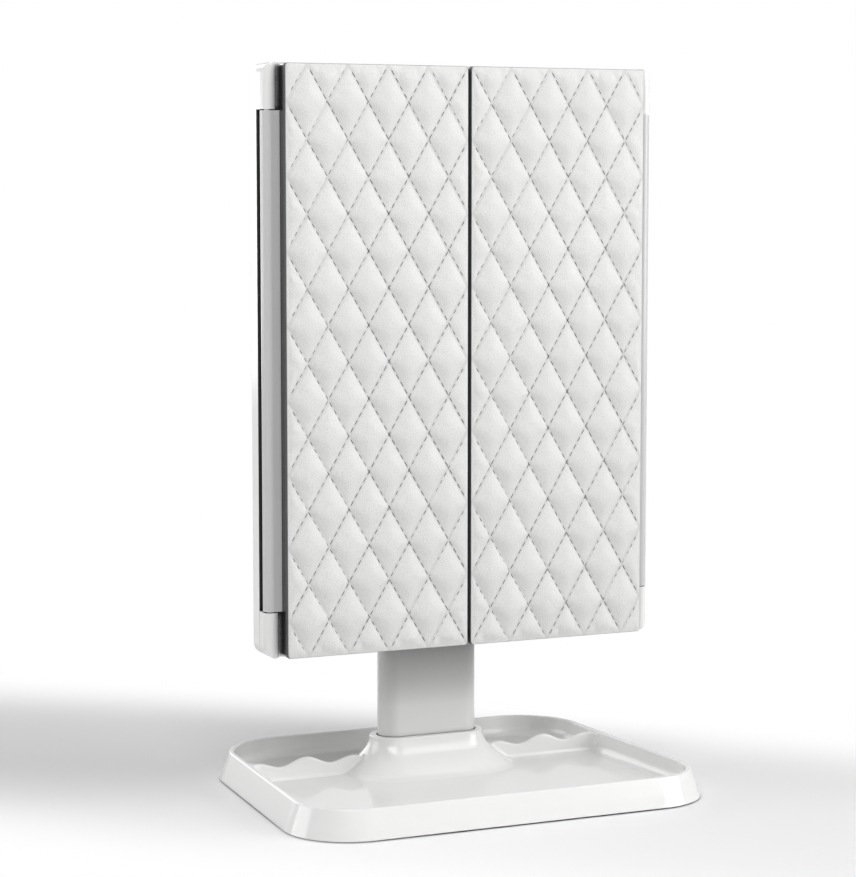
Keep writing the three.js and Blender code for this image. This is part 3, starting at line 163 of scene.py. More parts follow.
def choose(obj: Object, kind: str, test: Callable[[bmesh.types.BMElem], bool]) -> int:
    """Selects in edit mode the vertices, edges or faces that pass a test, and nothing else.

    Args:
        obj: The object in edit mode.
        kind: VERT, EDGE or FACE.
        test: Says whether an element is selected.

    Returns:
        How many elements are selected.
    """
    bpy.ops.mesh.select_mode(type=kind)
    bpy.ops.mesh.select_all(action="DESELECT")
    shape = bmesh.from_edit_mesh(obj.data)
    elements = {"VERT": shape.verts, "EDGE": shape.edges, "FACE": shape.faces}[kind]
    chosen = [element for element in elements if test(element)]
    for element in chosen:
        element.select_set(True)
    shape.select_flush_mode()
    bmesh.update_edit_mesh(obj.data)
    return len(chosen)


def apply_modifier(obj: Object, kind: str, **settings: object) -> None:
    """Adds a modifier with its settings and applies it."""
    select_only(obj)
    modifier = obj.modifiers.new(kind.lower(), kind)
    for key, value in settings.items():
        setattr(modifier, key, value)
    bpy.ops.object.modifier_apply(modifier=modifier.name)


def place_mesh(obj: Object) -> None:
    """Moves an object's place into its mesh, so that the object sits at the origin."""
    select_only(obj)
    bpy.ops.object.transform_apply(location=True, rotation=True, scale=True)


def face_outwards(obj: Object) -> None:
    """Merges an object's doubles and turns its faces outwards."""
    with editing(obj):
        bpy.ops.mesh.select_all(action="SELECT")
        bpy.ops.mesh.remove_doubles(threshold=SAME_PLACE)
        bpy.ops.mesh.normals_make_consistent(inside=False)


def shade(obj: Object, degrees: float) -> None:
    """Shades an object smooth below an angle, and keeps its flat faces flat."""
    select_only(obj)
    bpy.ops.object.shade_smooth_by_angle(angle=math.radians(degrees))
    apply_modifier(obj, "WEIGHTED_NORMAL", keep_sharp=True)


def fit_out(
    obj: Object,
    name: str,
    material: Material,
    body: str,
    nodes: Iterable[str] = (),
) -> Object:
    """Names a finished piece, dresses it and sets it on its body.

    Args:
        obj: The finished piece, with its place in its mesh.
        name: The piece's name.
        material: Its finish.
        body: The CAD body that it rides on.
        nodes: The CAD nodes that it stands for.

    Returns:
        The piece.
    """
    obj.name = obj.data.name = name
    obj.data.materials.clear()
    obj.data.materials.append(material)
    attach(obj, body)
    if nodes:
        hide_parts(*nodes)
    LOG.info("%s: %d faces, on %s", name, len(obj.data.polygons), body)
    return obj


def rounded(points: list[tuple[float, float]], radii: list[float], steps: int) -> list[tuple[float, float]]:
    """Rounds the corners of an open line in a plane.

    Args:
        points: The corners, first to last.
        radii: A radius for each corner, 0 where it stays sharp.
        steps: Straight steps in each rounded corner.

    Returns:
        The points of the rounded line.
    """
    line = [points[0]]
    for i in range(1, len(points) - 1):
        corner, before, after = (Vector(points[k]) for k in (i, i - 1, i + 1))
        if radii[i] <= 0:
            line.append(points[i])
            continue
        back, on = (before - corner).normalized(), (after - corner).normalized()
        half = back.angle(on) / 2
        centre = corner + (back + on).normalized() * (radii[i] / math.sin(half))
        start = corner + back * (radii[i] / math.tan(half)) - centre
        turn = math.pi - 2 * half
        sign = 1 if back.cross(on) < 0 else -1
        for k in range(steps + 1):
            angle = sign * turn * k / steps
            c, s = math.cos(angle), math.sin(angle)
            line.append((centre.x + start.x * c - start.y * s, centre.y + start.x * s + start.y * c))
    line.append(points[-1])
    return line


# Finishes


class Finish:
    """A finish makes a material from the object's own coordinates."""

    name: str

    def start(self) -> tuple[Material, NodeTree, Node]:
        """Starts the material.

        Returns:
            The material, its empty tree and its coordinates.
        """
        material = bpy.data.materials.new(self.name)
        tree = empty_tree(material)
        return material, tree, add_node(tree, "ShaderNodeTexCoord")

    def complete(self, tree: NodeTree, settings: dict[str, object], links: dict[str, NodeSocket]) -> None:
        """Ends a tree in its shader.

        Args:
            tree: The material's tree.
            settings: Values of the shader.
            links: The socket that feeds each input of the shader.
        """
        shader = add_node(tree, "ShaderNodeBsdfPrincipled", settings, links)
        add_node(tree, "ShaderNodeOutputMaterial", links={"Surface": shader.outputs["BSDF"]})

    def mottle(
        self, tree: NodeTree, place: NodeSocket, size_mm: float, detail: float, tones: tuple[str, str]
    ) -> tuple[NodeSocket, NodeSocket]:
        """Lays a cloudy pattern in two tones.

        Args:
            tree: The material's tree.
            place: Object coordinates.
            size_mm: Size of the clouds.
            detail: How many finer patterns lie in it.
            tones: The colours at 0 and at 1 of the pattern.

        Returns:
            The pattern and its colour.
        """
        clouds = add_node(
            tree, "ShaderNodeTexNoise", {"Scale": 1 / (size_mm * MM), "Detail": detail}, {"Vector": place}
        )
        tint = add_node(
            tree,
            "ShaderNodeMix",
            {"data_type": "RGBA", "A": linear(tones[0]), "B": linear(tones[1])},
            {"Factor": clouds.outputs["Fac"]},
        )
        return clouds.outputs["Fac"], tint.outputs["Result"]

    def share_along(
        self, tree: NodeTree, place: NodeSocket, axis: str, ends: tuple[float, float], start: float = 0.0
    ) -> NodeSocket:
        """Rises from a start value to 1 between two places along an axis.

        Args:
            tree: The material's tree.
            place: Object coordinates.
            axis: X, Y or Z.
            ends: The two places, in millimetres.
            start: The value up to the first place.

        Returns:
            The value.
        """
        split = add_node(tree, "ShaderNodeSeparateXYZ", links={"Vector": place})
        share = add_node(
            tree,
            "ShaderNodeMapRange",
            {"From Min": ends[0] * MM, "From Max": ends[1] * MM, "To Min": start},
            {"Value": split.outputs[axis]},
        )
        return share.outputs["Result"]


@dataclass(frozen=True)
class ShadeBand:
    """A band of painted shade, alike on both sides: near one place on an axis, and far enough from the
    middle.
    """

    colour: str
    axis: str
    at_mm: float
    within_mm: float
    out_mm: float = 0.0

    def paint(self, tree: NodeTree, place: NodeSocket, colour: NodeSocket) -> NodeSocket:
        """Paints the band of shade.

        Args:
            tree: The material's tree.
            place: Object coordinates.
            colour: The colour of the rest.

        Returns:
            The colour with the band of painted shade.
        """
        split = add_node(tree, "ShaderNodeSeparateXYZ", links={"Vector": place})
        across = add_node(tree, "ShaderNodeMath", {"operation": "ABSOLUTE"}, {0: split.outputs["X"]})
        sockets = {"X": across.outputs["Value"], "Y": split.outputs["Y"]}
        on = add_node(
            tree,
            "ShaderNodeMath",
            {"operation": "COMPARE", 1: self.at_mm * MM, 2: self.within_mm * MM},
            {0: sockets[self.axis]},
        )
        out = add_node(
            tree, "ShaderNodeMath", {"operation": "GREATER_THAN", 1: self.out_mm * MM}, {0: sockets["X"]}
        )
        both = add_node(
            tree,
            "ShaderNodeMath",
            {"operation": "MULTIPLY"},
            {0: on.outputs["Value"], 1: out.outputs["Value"]},
        )
        painted = add_node(
            tree,
            "ShaderNodeMix",
            {"data_type": "RGBA", "B": linear(self.colour)},
            {"Factor": both.outputs["Value"], "A": colour},
        )
        return painted.outputs["Result"]


@dataclass(frozen=True)
class MouldedAbs(Finish):
    """Pale ABS, injection moulded: glossy with slow ripples off a polished tool, satin off an eroded one."""

    name: str
    light: str = "#E8E8E7"
    dark: str = "#E4E4E3"
    roughness: tuple[float, float] = (0.12, 0.18)
    grain_mm: float = 1.5
    grain_depth_mm: float = 0.002
    ripple_mm: float = 26.0
    ripple_depth_mm: float = 0.012
    shade_bands: tuple[ShadeBand, ...] = ()
    polished_z: tuple[float, float] | None = None
    polish: float = 0.25
    shaded_z: tuple[float, float] | None = None
    shaded: str = "#505050"
    shade_reach_mm: float = 70.0
    shade_openness: tuple[float, float] = (0.98, 0.65)
    gap_shade: str = "#1E1E1E"
    gap_shade_mm: float = 3.0
    gap_shade_openness: tuple[float, float] = (0.3, 0.62)
    rays: int = 12
    ior: float = 1.54

    def build(self) -> Material:
        """Makes the material."""
        material, tree, coords = self.start()
        place = coords.outputs["Object"]
        flow, colour = self.mottle(tree, place, self.ripple_mm, 2.0, (self.light, self.dark))
        grain = add_node(
            tree, "ShaderNodeTexNoise", {"Scale": 1 / (self.grain_mm * MM), "Detail": 3.0}, {"Vector": place}
        )
        low, high = self.roughness
        rough = add_node(
            tree, "ShaderNodeMapRange", {"To Min": low, "To Max": high}, {"Value": grain.outputs["Fac"]}
        )
        if self.polished_z:
            # The flat floor of the tool is polished better than its walls.
            up = self.share_along(tree, place, "Z", self.polished_z, self.polish)
            rough = add_node(
                tree, "ShaderNodeMapRange", links={"Value": rough.outputs["Result"], "To Max": up}
            )
        ripple = add_node(tree, "ShaderNodeBump", {"Distance": self.ripple_depth_mm * MM}, {"Height": flow})
        skin = add_node(
            tree,
            "ShaderNodeBump",
            {"Distance": self.grain_depth_mm * MM},
            {"Height": grain.outputs["Fac"], "Normal": ripple.outputs["Normal"]},
        )
        # Bands of painted shade go over the colour.
        for shade_band in self.shade_bands:
            colour = shade_band.paint(tree, place, colour)
        if self.shaded_z:
            colour = self.shade_upwards(tree, place, colour)
        # The narrow gaps get painted shade.
        self.complete(
            tree,
            {"IOR": self.ior},
            {
                "Base Color": self.paint_gap_shade(tree, colour),
                "Roughness": rough.outputs["Result"],
                "Normal": skin.outputs["Normal"],
            },
        )
        return material

    def shade_upwards(self, tree: NodeTree, place: NodeSocket, colour: NodeSocket) -> NodeSocket:
        """Shades the colour upwards where another piece is near, as deep under the head.

        Args:
            tree: The material's tree.
            place: Object coordinates.
            colour: The colour lower down.

        Returns:
            The colour, which deepens upwards.
        """
        up = self.share_along(tree, place, "Z", self.shaded_z)
        openness = add_node(
            tree, "ShaderNodeAmbientOcclusion", {"samples": self.rays, "Distance": self.shade_reach_mm * MM}
        )
        open_sky, shut = self.shade_openness
        under = add_node(
            tree,
            "ShaderNodeMapRange",
            {"From Min": open_sky, "From Max": shut},
            {"Value": openness.outputs["AO"], "To Max": up},
        )
        deeper = add_node(
            tree,
            "ShaderNodeMix",
            {"data_type": "RGBA", "B": linear(self.shaded)},
            {"Factor": under.outputs["Result"], "A": colour},
        )
        return deeper.outputs["Result"]

    def paint_gap_shade(self, tree: NodeTree, colour: NodeSocket) -> NodeSocket:
        """Paints shade into the colour in narrow gaps, deeper where less of the surroundings is open.

        Args:
            tree: The material's tree.
            colour: The colour in the open.

        Returns:
            The colour, dark in the gaps.
        """
        openness = add_node(
            tree, "ShaderNodeAmbientOcclusion", {"samples": self.rays, "Distance": self.gap_shade_mm * MM}
        )
        low, high = self.gap_shade_openness
        share = add_node(
            tree,
            "ShaderNodeMapRange",
            {"From Min": low, "From Max": high, "interpolation_type": "SMOOTHSTEP"},
            {"Value": openness.outputs["AO"]},
        )
        shut = add_node(
            tree,
            "ShaderNodeMix",
            {"data_type": "RGBA", "A": linear(self.gap_shade)},
            {"Factor": share.outputs["Result"], "B": colour},
        )
        return shut.outputs["Result"]


@dataclass(frozen=True)
class Leatherette(Finish):
    """Polyurethane leatherette on foam, with a fine pebble grain, and shade painted into its sides, stitch
    lines and grain.
    """

    name: str = "pu_leatherette"
    light: str = "#DBDBDA"
    dark: str = "#CCCCCB"
    seam: str = "#C8C8C7"
    side: str = "#3A3A3A"
    side_shade_y: tuple[float, float] = (-22.66, -22.4)
    pebble_mm: float = 0.85
    pebble_depth_mm: float = 0.07
    crease_share: float = 0.22
    pore_mm: float = 0.3
    pore_depth_mm: float = 0.02
    wear_mm: float = 45.0
    roughness: tuple[float, float] = (0.42, 0.6)
    sheen: float = 0.05
    ior: float = 1.5

    def build(self) -> Material:
        """Makes the material."""
        material, tree, coords = self.start()
        place = coords.outputs["Object"]
        # Pebbles of leatherette are 0.3 to 0.6 mm; they are drawn a little coarser, so that they show.
        pebbles = add_node(
            tree,
            "ShaderNodeTexVoronoi",
            {"feature": "DISTANCE_TO_EDGE", "Scale": 1 / (self.pebble_mm * MM), "Randomness": 0.9},
            {"Vector": place},
        )
        creases = add_node(
            tree,
            "ShaderNodeMapRange",
            {"From Max": self.crease_share, "interpolation_type": "SMOOTHSTEP"},
            {"Value": pebbles.outputs["Distance"]},
        )
        pores = add_node(
            tree, "ShaderNodeTexNoise", {"Scale": 1 / (self.pore_mm * MM), "Detail": 2.0}, {"Vector": place}
        )
        wear = add_node(
            tree, "ShaderNodeTexNoise", {"Scale": 1 / (self.wear_mm * MM), "Detail": 3.0}, {"Vector": place}
        )
        # The valleys between the pebbles get painted shade, and slow clouds vary the tone.
        crease_shade_and_wear = add_node(
            tree,
            "ShaderNodeMath",
            {"operation": "MULTIPLY"},
            {0: creases.outputs["Result"], 1: wear.outputs["Fac"]},
        )
        pebble_tone = add_node(
            tree, "ShaderNodeMapRange", {"From Max": 0.6, "To Min": 0.25}, {"Value": crease_shade_and_wear.outputs["Value"]}
        )
        colour = add_node(
            tree,
            "ShaderNodeMix",
            {"data_type": "RGBA", "A": linear(self.dark), "B": linear(self.light)},
            {"Factor": pebble_tone.outputs["Result"]},
        )
        # Along the stitch lines, where the leather is pulled in, shade is painted into the colour.
        pulled = add_node(tree, "ShaderNodeAttribute", {"attribute_name": QuiltedPad.seam_attribute})
        near = add_node(
            tree, "ShaderNodeMapRange", {"interpolation_type": "SMOOTHSTEP"}, {"Value": pulled.outputs["Fac"]}
        )
        colour = add_node(
            tree,
            "ShaderNodeMix",
            {"data_type": "RGBA", "A": linear(self.seam)},
            {"Factor": near.outputs["Result"], "B": colour.outputs["Result"]},
        )
        # The sides of the pad get painted shade.
        behind = self.share_along(tree, place, "Y", self.side_shade_y)
        colour = add_node(
            tree,
            "ShaderNodeMix",
            {"data_type": "RGBA", "B": linear(self.side)},
            {"Factor": behind, "A": colour.outputs["Result"]},
        )
        low, high = self.roughness
        rough = add_node(
            tree, "ShaderNodeMapRange", {"To Min": low, "To Max": high}, {"Value": pores.outputs["Fac"]}
        )
        fine = add_node(
            tree, "ShaderNodeBump", {"Distance": self.pore_depth_mm * MM}, {"Height": pores.outputs["Fac"]}
        )
        grain = add_node(
            tree,
            "ShaderNodeBump",
            {"Distance": self.pebble_depth_mm * MM},
            {"Height": creases.outputs["Result"], "Normal": fine.outputs["Normal"]},
        )
        self.complete(
            tree,
            {"IOR": self.ior, "Sheen Weight": self.sheen},
            {
                "Base Color": colour.outputs["Result"],
                "Roughness": rough.outputs["Result"],
                "Normal": grain.outputs["Normal"],
            },
        )
        return material


@dataclass(frozen=True)
class Thread(Finish):
    """Dark grey polyester sewing thread, three plies twisted, with a slight sheen."""

    name: str = "polyester_thread"
    light: str = "#3A3A3A"
    dark: str = "#202020"
    ply_mm: float = 0.4
    ply_depth_mm: float = 0.05
    roughness: float = 0.65
    sheen: float = 0.3

    def build(self) -> Material:
        """Makes the material."""
        material, tree, coords = self.start()
        plies = add_node(
            tree,
            "ShaderNodeTexWave",
            {"Scale": 0.1 / (self.ply_mm * MM), "Distortion": 1.5, "bands_direction": "DIAGONAL"},
            {"Vector": coords.outputs["Object"]},
        )
        tint = add_node(
            tree,
            "ShaderNodeMix",
            {"data_type": "RGBA", "A": linear(self.dark), "B": linear(self.light)},
            {"Factor": plies.outputs["Fac"]},
        )
        twist = add_node(
            tree, "ShaderNodeBump", {"Distance": self.ply_depth_mm * MM}, {"Height": plies.outputs["Fac"]}
        )
        self.complete(
            tree,
            {"Roughness": self.roughness, "Sheen Weight": self.sheen},
            {"Base Color": tint.outputs["Result"], "Normal": twist.outputs["Normal"]},
        )
        return material


@dataclass(frozen=True)
class SilveredGlass(Finish):
    """Float glass silvered on its back: a clean mirror with faint smears, and greenish ground edges."""

    name: str = "silvered_float_glass"
    silver: str = "#F2F5F4"
    edge: str = "#9DB8AE"
    smear_mm: float = 60.0
    smeared: tuple[float, float] = (0.012, 0.035)
    ground: float = 0.45

    def build(self) -> Material:
        """Makes the material."""
        material, tree, coords = self.start()
        split = add_node(tree, "ShaderNodeSeparateXYZ", links={"Vector": coords.outputs["Normal"]})
        facing = add_node(tree, "ShaderNodeMath", {"operation": "ABSOLUTE"}, {0: split.outputs["Y"]})
        face = add_node(
            tree, "ShaderNodeMath", {"operation": "GREATER_THAN", 1: 0.7}, {0: facing.outputs["Value"]}
        )
        smears = add_node(
            tree,
            "ShaderNodeTexNoise",
            {"Scale": 1 / (self.smear_mm * MM), "Detail": 5.0},
            {"Vector": coords.outputs["Object"]},
        )
        low, high = self.smeared
        wiped = add_node(
            tree, "ShaderNodeMapRange", {"To Min": low, "To Max": high}, {"Value": smears.outputs["Fac"]}
        )
        rough = add_node(
            tree,
            "ShaderNodeMix",
            {"data_type": "FLOAT", "A": self.ground},
            {"Factor": face.outputs["Value"], "B": wiped.outputs["Result"]},
        )
        tint = add_node(
            tree,
            "ShaderNodeMix",
            {"data_type": "RGBA", "A": linear(self.edge), "B": linear(self.silver)},
            {"Factor": face.outputs["Value"]},
        )
        self.complete(
            tree,
            {},
            {
                "Base Color": tint.outputs["Result"],
                "Metallic": face.outputs["Value"],
                "Roughness": rough.outputs["Result"],
            },
        )
        return material


@dataclass(frozen=True)
class PlatedMetal(Finish):
    """Steel or a magnet with a thin bright plating, a little cloudy."""

    name: str
    light: str
    dark: str
    roughness: tuple[float, float]
    cloud_mm: float = 2.5

    def build(self) -> Material:
        """Makes the material."""
        material, tree, coords = self.start()
        cloud, colour = self.mottle(
            tree, coords.outputs["Object"], self.cloud_mm, 4.0, (self.light, self.dark)
        )
        low, high = self.roughness
        rough = add_node(tree, "ShaderNodeMapRange", {"To Min": low, "To Max": high}, {"Value": cloud})
        self.complete(
            tree, {"Metallic": 1.0}, {"Base Color": colour, "Roughness": rough.outputs["Result"]}
        )
        return material


@dataclass(frozen=True)
class DullSolid(Finish):
    """A matt solid with a speckle: foot rubber, pressed fibreboard, solder mask or a frosted sheet."""

    name: str
    light: str
    dark: str
    roughness: float
    speck_mm: float
    speck_depth_mm: float
    stretch: tuple[float, float, float] = (1.0, 1.0, 1.0)
    glow: float = 0.0
    glow_mm: float = 0.6
    ior: float = 1.5

    def build(self) -> Material:
        """Makes the material."""
        material, tree, coords = self.start()
        turned = add_node(
            tree, "ShaderNodeMapping", {"Scale": self.stretch}, {"Vector": coords.outputs["Object"]}
        )
        specks, colour = self.mottle(
            tree, turned.outputs["Vector"], self.speck_mm, 4.0, (self.light, self.dark)
        )
        relief = add_node(
            tree, "ShaderNodeBump", {"Distance": self.speck_depth_mm * MM}, {"Height": specks}
        )
        self.complete(
            tree,
            {
                "Roughness": self.roughness,
                "IOR": self.ior,
                "Subsurface Weight": self.glow,
                "Subsurface Scale": self.glow_mm * MM,
            },
            {"Base Color": colour, "Normal": relief.outputs["Normal"]},
        )
        return material


@dataclass(frozen=True)
class Stripes(Finish):
    """A printed jacket or board whose colour changes at one place along one axis of the object."""

    name: str
    ground: str
    mark: str
    axis: str
    start_mm: float
    roughness: float
    metallic: float = 0.0
    speck_mm: float = 1.2
    speck_depth_mm: float = 0.01

    def build(self) -> Material:
        """Makes the material."""
        material, tree, coords = self.start()
        place = coords.outputs["Object"]
        split = add_node(tree, "ShaderNodeSeparateXYZ", links={"Vector": place})
        past = add_node(
            tree,
            "ShaderNodeMath",
            {"operation": "LESS_THAN", 1: self.start_mm * MM},
            {0: split.outputs[self.axis]},
        )
        specks = add_node(
            tree, "ShaderNodeTexNoise", {"Scale": 1 / (self.speck_mm * MM), "Detail": 3.0}, {"Vector": place}
        )
        tint = add_node(
            tree,
            "ShaderNodeMix",
            {"data_type": "RGBA", "A": linear(self.ground), "B": linear(self.mark)},
            {"Factor": past.outputs["Value"]},
        )
        relief = add_node(
            tree, "ShaderNodeBump", {"Distance": self.speck_depth_mm * MM}, {"Height": specks.outputs["Fac"]}
        )
        self.complete(
            tree,
            {"Roughness": self.roughness, "Metallic": self.metallic},
            {"Base Color": tint.outputs["Result"], "Normal": relief.outputs["Normal"]},
        )
        return material


class Finishes:
    """Every finish of the mirror, each made once."""

    def __init__(self) -> None:
        """Makes the materials."""
        self.gloss = MouldedAbs("gloss_moulded_abs", polished_z=(4.8, 6.5)).build()
        # The step of the head behind each hinge barrel gets painted shade, and shows as a dark slit.
        slit_shade = ShadeBand("#1E1E1E", "Y", -7.5, 0.12, 96.0)
        self.head = MouldedAbs("gloss_moulded_abs_dark_slit", shade_bands=(slit_shade,)).build()
        # The post is painted a little darker than the other gloss parts, and shade is painted deeper upwards
        # where the head is near.
        self.post = MouldedAbs(
            "gloss_moulded_abs_post", "#E0E0DF", "#DCDCDB", (0.1, 0.14), shaded_z=(36.0, 76.0)
        ).build()
        self.satin = MouldedAbs(
            "satin_moulded_abs", "#E2E2E1", "#DDDDDC", (0.36, 0.5), 0.6, 0.02, ripple_depth_mm=0.006
        ).build()
        # The doors are painted a darker grey than the head, to stand for the shade on their hinge barrels,
        # and their sides that face out and that meet at the seam get painted shade.
        edges = (ShadeBand("#2C2C2C", "X", Door.half_span, 0.12), ShadeBand("#2C2C2C", "X", Door.seam / 2, 0.3))
        self.door = MouldedAbs("gloss_moulded_abs_painted_edge", "#C8C8C8", "#C4C4C4", shade_bands=edges).build()
        self.leather = Leatherette().build()
        self.thread = Thread().build()
        self.mirror = SilveredGlass().build()
        self.steel = PlatedMetal("zinc_plated_steel", "#C4C6C8", "#A9ACAF", (0.24, 0.38)).build()
        self.magnet = PlatedMetal("nickel_plated_magnet", "#C9C6BE", "#B4B1A9", (0.16, 0.28)).build()
        self.rubber = DullSolid("foot_rubber", "#CFCFCD", "#BFBFBC", 0.8, 0.8, 0.03).build()
        self.board = DullSolid(
            "pressed_fibreboard", "#BFA27A", "#94774F", 0.85, 1.2, 0.05, stretch=(1.0, 1.0, 0.25)
        ).build()
        self.frosted = DullSolid(
            "frosted_acrylic", "#F6F7F5", "#F0F1EF", 0.55, 0.4, 0.01, glow=0.4, ior=1.49
        ).build()
        self.circuit = DullSolid("white_solder_mask", "#E9ECE8", "#D9DDD8", 0.4, 3.0, 0.01).build()
        # The phosphor of the light emitting diodes stands proud of their boards.
        self.led_board = Stripes(
            "solder_mask_and_phosphor", "#E9ECE8", "#E5C54A", "Y", PHOSPHOR_Y, 0.35
        ).build()
        self.cell = Stripes("battery_jacket", "#C9CCD0", "#3F6F57", "X", 8.0, 0.3, metallic=0.6).build()


# The tray


@dataclass
class Tray:
    """The tray with its leaning walls, its hub and two wavy dividers, one glossy moulding."""

    front_width: float = 210.0
    back_width: float = 190.0
    depth: float = 164.4
    front_radius: float = 31.0
    back_radius: float = 36.0
    foot_z: float = 0.8
    rim_z: float = 13.9
    floor_z: float = 4.4
    lean: float = 4.8
    wall: float = 2.2
    draft: float = 1.5
    cove: float = 5.0
    rim_round: float = 0.9
    recess: float = 1.6
    hub_rim_z: float = 21.6
    hub_lip: float = 3.75
    hub_flare: float = 14.5
    hub_steps: int = 10
    hub_round: float = 0.7
    hub_foot_round: float = 3.2
    hub_root_radius: float = 10.0
    socket_z: float = 7.4
    fit: float = 0.3
    post_width: float = 50.0
    post_depth: float = 16.0
    post_y: float = 27.0
    divider: float = 2.2
    divider_fillet: float = 1.6
    divider_end: float = 92.4
    wall_fillet: float = 5.0
    hub_fillet: float = 3.2
    hub_rise: float = 1.5
    hub_end: float = 0.8
    overlap: float = 1.0
    sink: float = 0.9
    hair: float = 0.02
    wave_mean: float = 8.35
    wave_swing: float = 1.75
    wave_length: float = 25.0
    wave_crest: float = 62.6
    wave_droop: float = 0.0022
    corner_steps: int = 20
    smooth_degrees: float = 32.0

    def build(self, finishes: Finishes) -> None:
        """Makes the tray and dresses it."""
        tray = self.shell()
        self.join_hub(tray, self.hub())
        self.hollow_underside(tray)
        for side in (-1, 1):
            self.join_divider(tray, side)
        face_outwards(tray)
        shade(tray, self.smooth_degrees)
        fit_out(tray, "tray_moulding", finishes.gloss, "base", ["base_tray"])

    def flat_outline(self, name: str, width: float, depth: float, y: float, z: float) -> Object:
        """Adds a plane of one face.

        Args:
            name: The object's name.
            width: Its width.
            depth: Its depth.
            y: The middle of its depth.
            z: Its height.

        Returns:
            The plane, with its place in its mesh.
        """
        bpy.ops.object.select_all(action="DESELECT")
        bpy.ops.mesh.primitive_plane_add(size=1, location=(0, y * MM, z * MM))
        plane = bpy.context.object
        plane.name = name
        plane.scale = (width * MM, depth * MM, 1)
        place_mesh(plane)
        return plane

    def step_inwards(self, obj: Object, profile: list[tuple[float, float]]) -> None:
        """Insets the top face along a profile.

        Args:
            obj: The object in edit mode, with its top face selected.
            profile: Distance in from the outline and height, for each step.
        """
        for (inset, z), (next_inset, next_z) in zip(profile, profile[1:]):
            bpy.ops.mesh.inset(thickness=(next_inset - inset) * MM, depth=(next_z - z) * MM)

    def shell(self) -> Object:
        """Makes the walls and the floor.

        Returns:
            The shell, whose floor is one face and whose foot is open.
        """
        tray = self.flat_outline("tray", self.front_width, self.depth, 0, self.foot_z)
        lean = math.atan((self.front_width - self.back_width) / 2 / self.depth)
        with editing(tray):
            choose(tray, "VERT", lambda v: v.co.y > 0)
            bpy.ops.transform.resize(value=(self.back_width / self.front_width, 1, 1))
            for end, radius in ((-1, self.front_radius), (1, self.back_radius)):
                half = (math.pi / 2 + end * lean) / 2
                reach = (self.depth / 2 - 1) * MM
                choose(tray, "VERT", lambda v, end=end, reach=reach: v.co.y * end > reach)
                bpy.ops.mesh.bevel(
                    offset=radius / math.tan(half) * MM, segments=self.corner_steps, affect="VERTICES"
                )
            choose(tray, "FACE", lambda f: True)
            top = self.lean + self.wall
            bottom = top + self.draft
            corners = [
                (0, self.foot_z),
                (self.lean, self.rim_z),
                (top, self.rim_z),
                (bottom, self.floor_z),
                (bottom + self.cove + 1, self.floor_z),
            ]
            radii = [0, self.rim_round, self.rim_round, self.cove, 0]
            self.step_inwards(tray, rounded(corners, radii, 8))
        return tray

    def hub(self) -> Object:
        """Makes the hub with its hollow skirt and the socket for the post.

        Returns:
            The hub, open below.
        """
        foot = self.hub_lip + self.hub_flare + self.hub_foot_round
        grown = (self.post_width + 2 * foot, self.post_depth + 2 * foot)
        hub = self.flat_outline("hub", *grown, self.post_y, self.floor_z)
        curve = []
        for k in range(self.hub_steps + 1):
            inset = foot - self.hub_lip - self.hub_flare * (1 - k / self.hub_steps) ** 2
            curve.append((inset, self.floor_z + (self.hub_rim_z - self.floor_z) * k / self.hub_steps))
        corners = [(0, self.floor_z), *curve, (foot - self.fit, self.hub_rim_z)]
        radii = [0, self.hub_root_radius, *[0] * (self.hub_steps - 1), self.hub_round, 0]
        rim = rounded(corners, radii, 5)
        inner = (foot - self.fit - self.hub_round, self.hub_rim_z)
        profile = [*rim[:-1], inner]
        turn = [
            (inner[0] + self.hub_round * math.sin(a), inner[1] - self.hub_round * (1 - math.cos(a)))
            for a in (math.pi / 2 * k / 5 for k in range(1, 6))
        ]
        with editing(hub):
            choose(hub, "VERT", lambda v: True)
            bpy.ops.mesh.bevel(offset=grown[1] / 2 * MM, segments=self.corner_steps, affect="VERTICES")
            bpy.ops.mesh.select_all(action="SELECT")
            bpy.ops.mesh.remove_doubles(threshold=SAME_PLACE)
            choose(hub, "FACE", lambda f: True)
            self.step_inwards(hub, [*profile, *turn])
            drop = self.socket_z - self.hub_rim_z + self.hub_round
            bpy.ops.mesh.extrude_region_move(TRANSFORM_OT_translate={"value": (0, 0, drop * MM)})
        return hub

    def join_hub(self, tray: Object, hub: Object) -> None:
        """Sets the hub in the floor, with the floor filled round its foot."""
        level = self.floor_z * MM
        many = 2 * self.corner_steps

        def is_floor(face: bmesh.types.BMFace) -> bool:
            """Says whether a face is the whole floor."""
            return len(face.verts) > many and abs(face.calc_center_median().z - level) < SAME_PLACE

        def is_open(edge: bmesh.types.BMEdge) -> bool:
            """Says whether an edge is open and lies in the floor."""
            return edge.is_boundary and all(abs(v.co.z - level) < SAME_PLACE for v in edge.verts)

        with editing(tray):
            choose(tray, "FACE", is_floor)
            bpy.ops.mesh.delete(type="ONLY_FACE")
        bpy.ops.object.select_all(action="DESELECT")
        hub.select_set(True)
        tray.select_set(True)
        bpy.context.view_layer.objects.active = tray
        bpy.ops.object.join()
        with editing(tray):
            choose(tray, "EDGE", is_open)
            bpy.ops.mesh.fill()

    def join_divider(self, tray: Object, side: int) -> None:
        """Adds one divider: a strip drawn up in steps, with a fillet at its foot and a wavy round top.

        Args:
            tray: The tray that gets it.
            side: -1 for the left and 1 for the right.
        """
        start = self.post_width / 2 + self.hub_lip + self.overlap
        length = self.divider_end - start
        half = self.divider / 2
        foot = half + self.divider_fillet
        root = self.floor_z - self.sink
        strip = self.flat_outline("divider", length, 2 * foot, self.post_y, root)
        strip.location.x = side * (start + length / 2) * MM
        place_mesh(strip)
        top = self.floor_z + self.wave_mean
        arc = [math.pi / 2 * k / 5 for k in range(1, 6)]
        fillet = [
            (foot - self.divider_fillet * math.sin(a), self.floor_z + self.divider_fillet * (1 - math.cos(a)))
            for a in arc
        ]
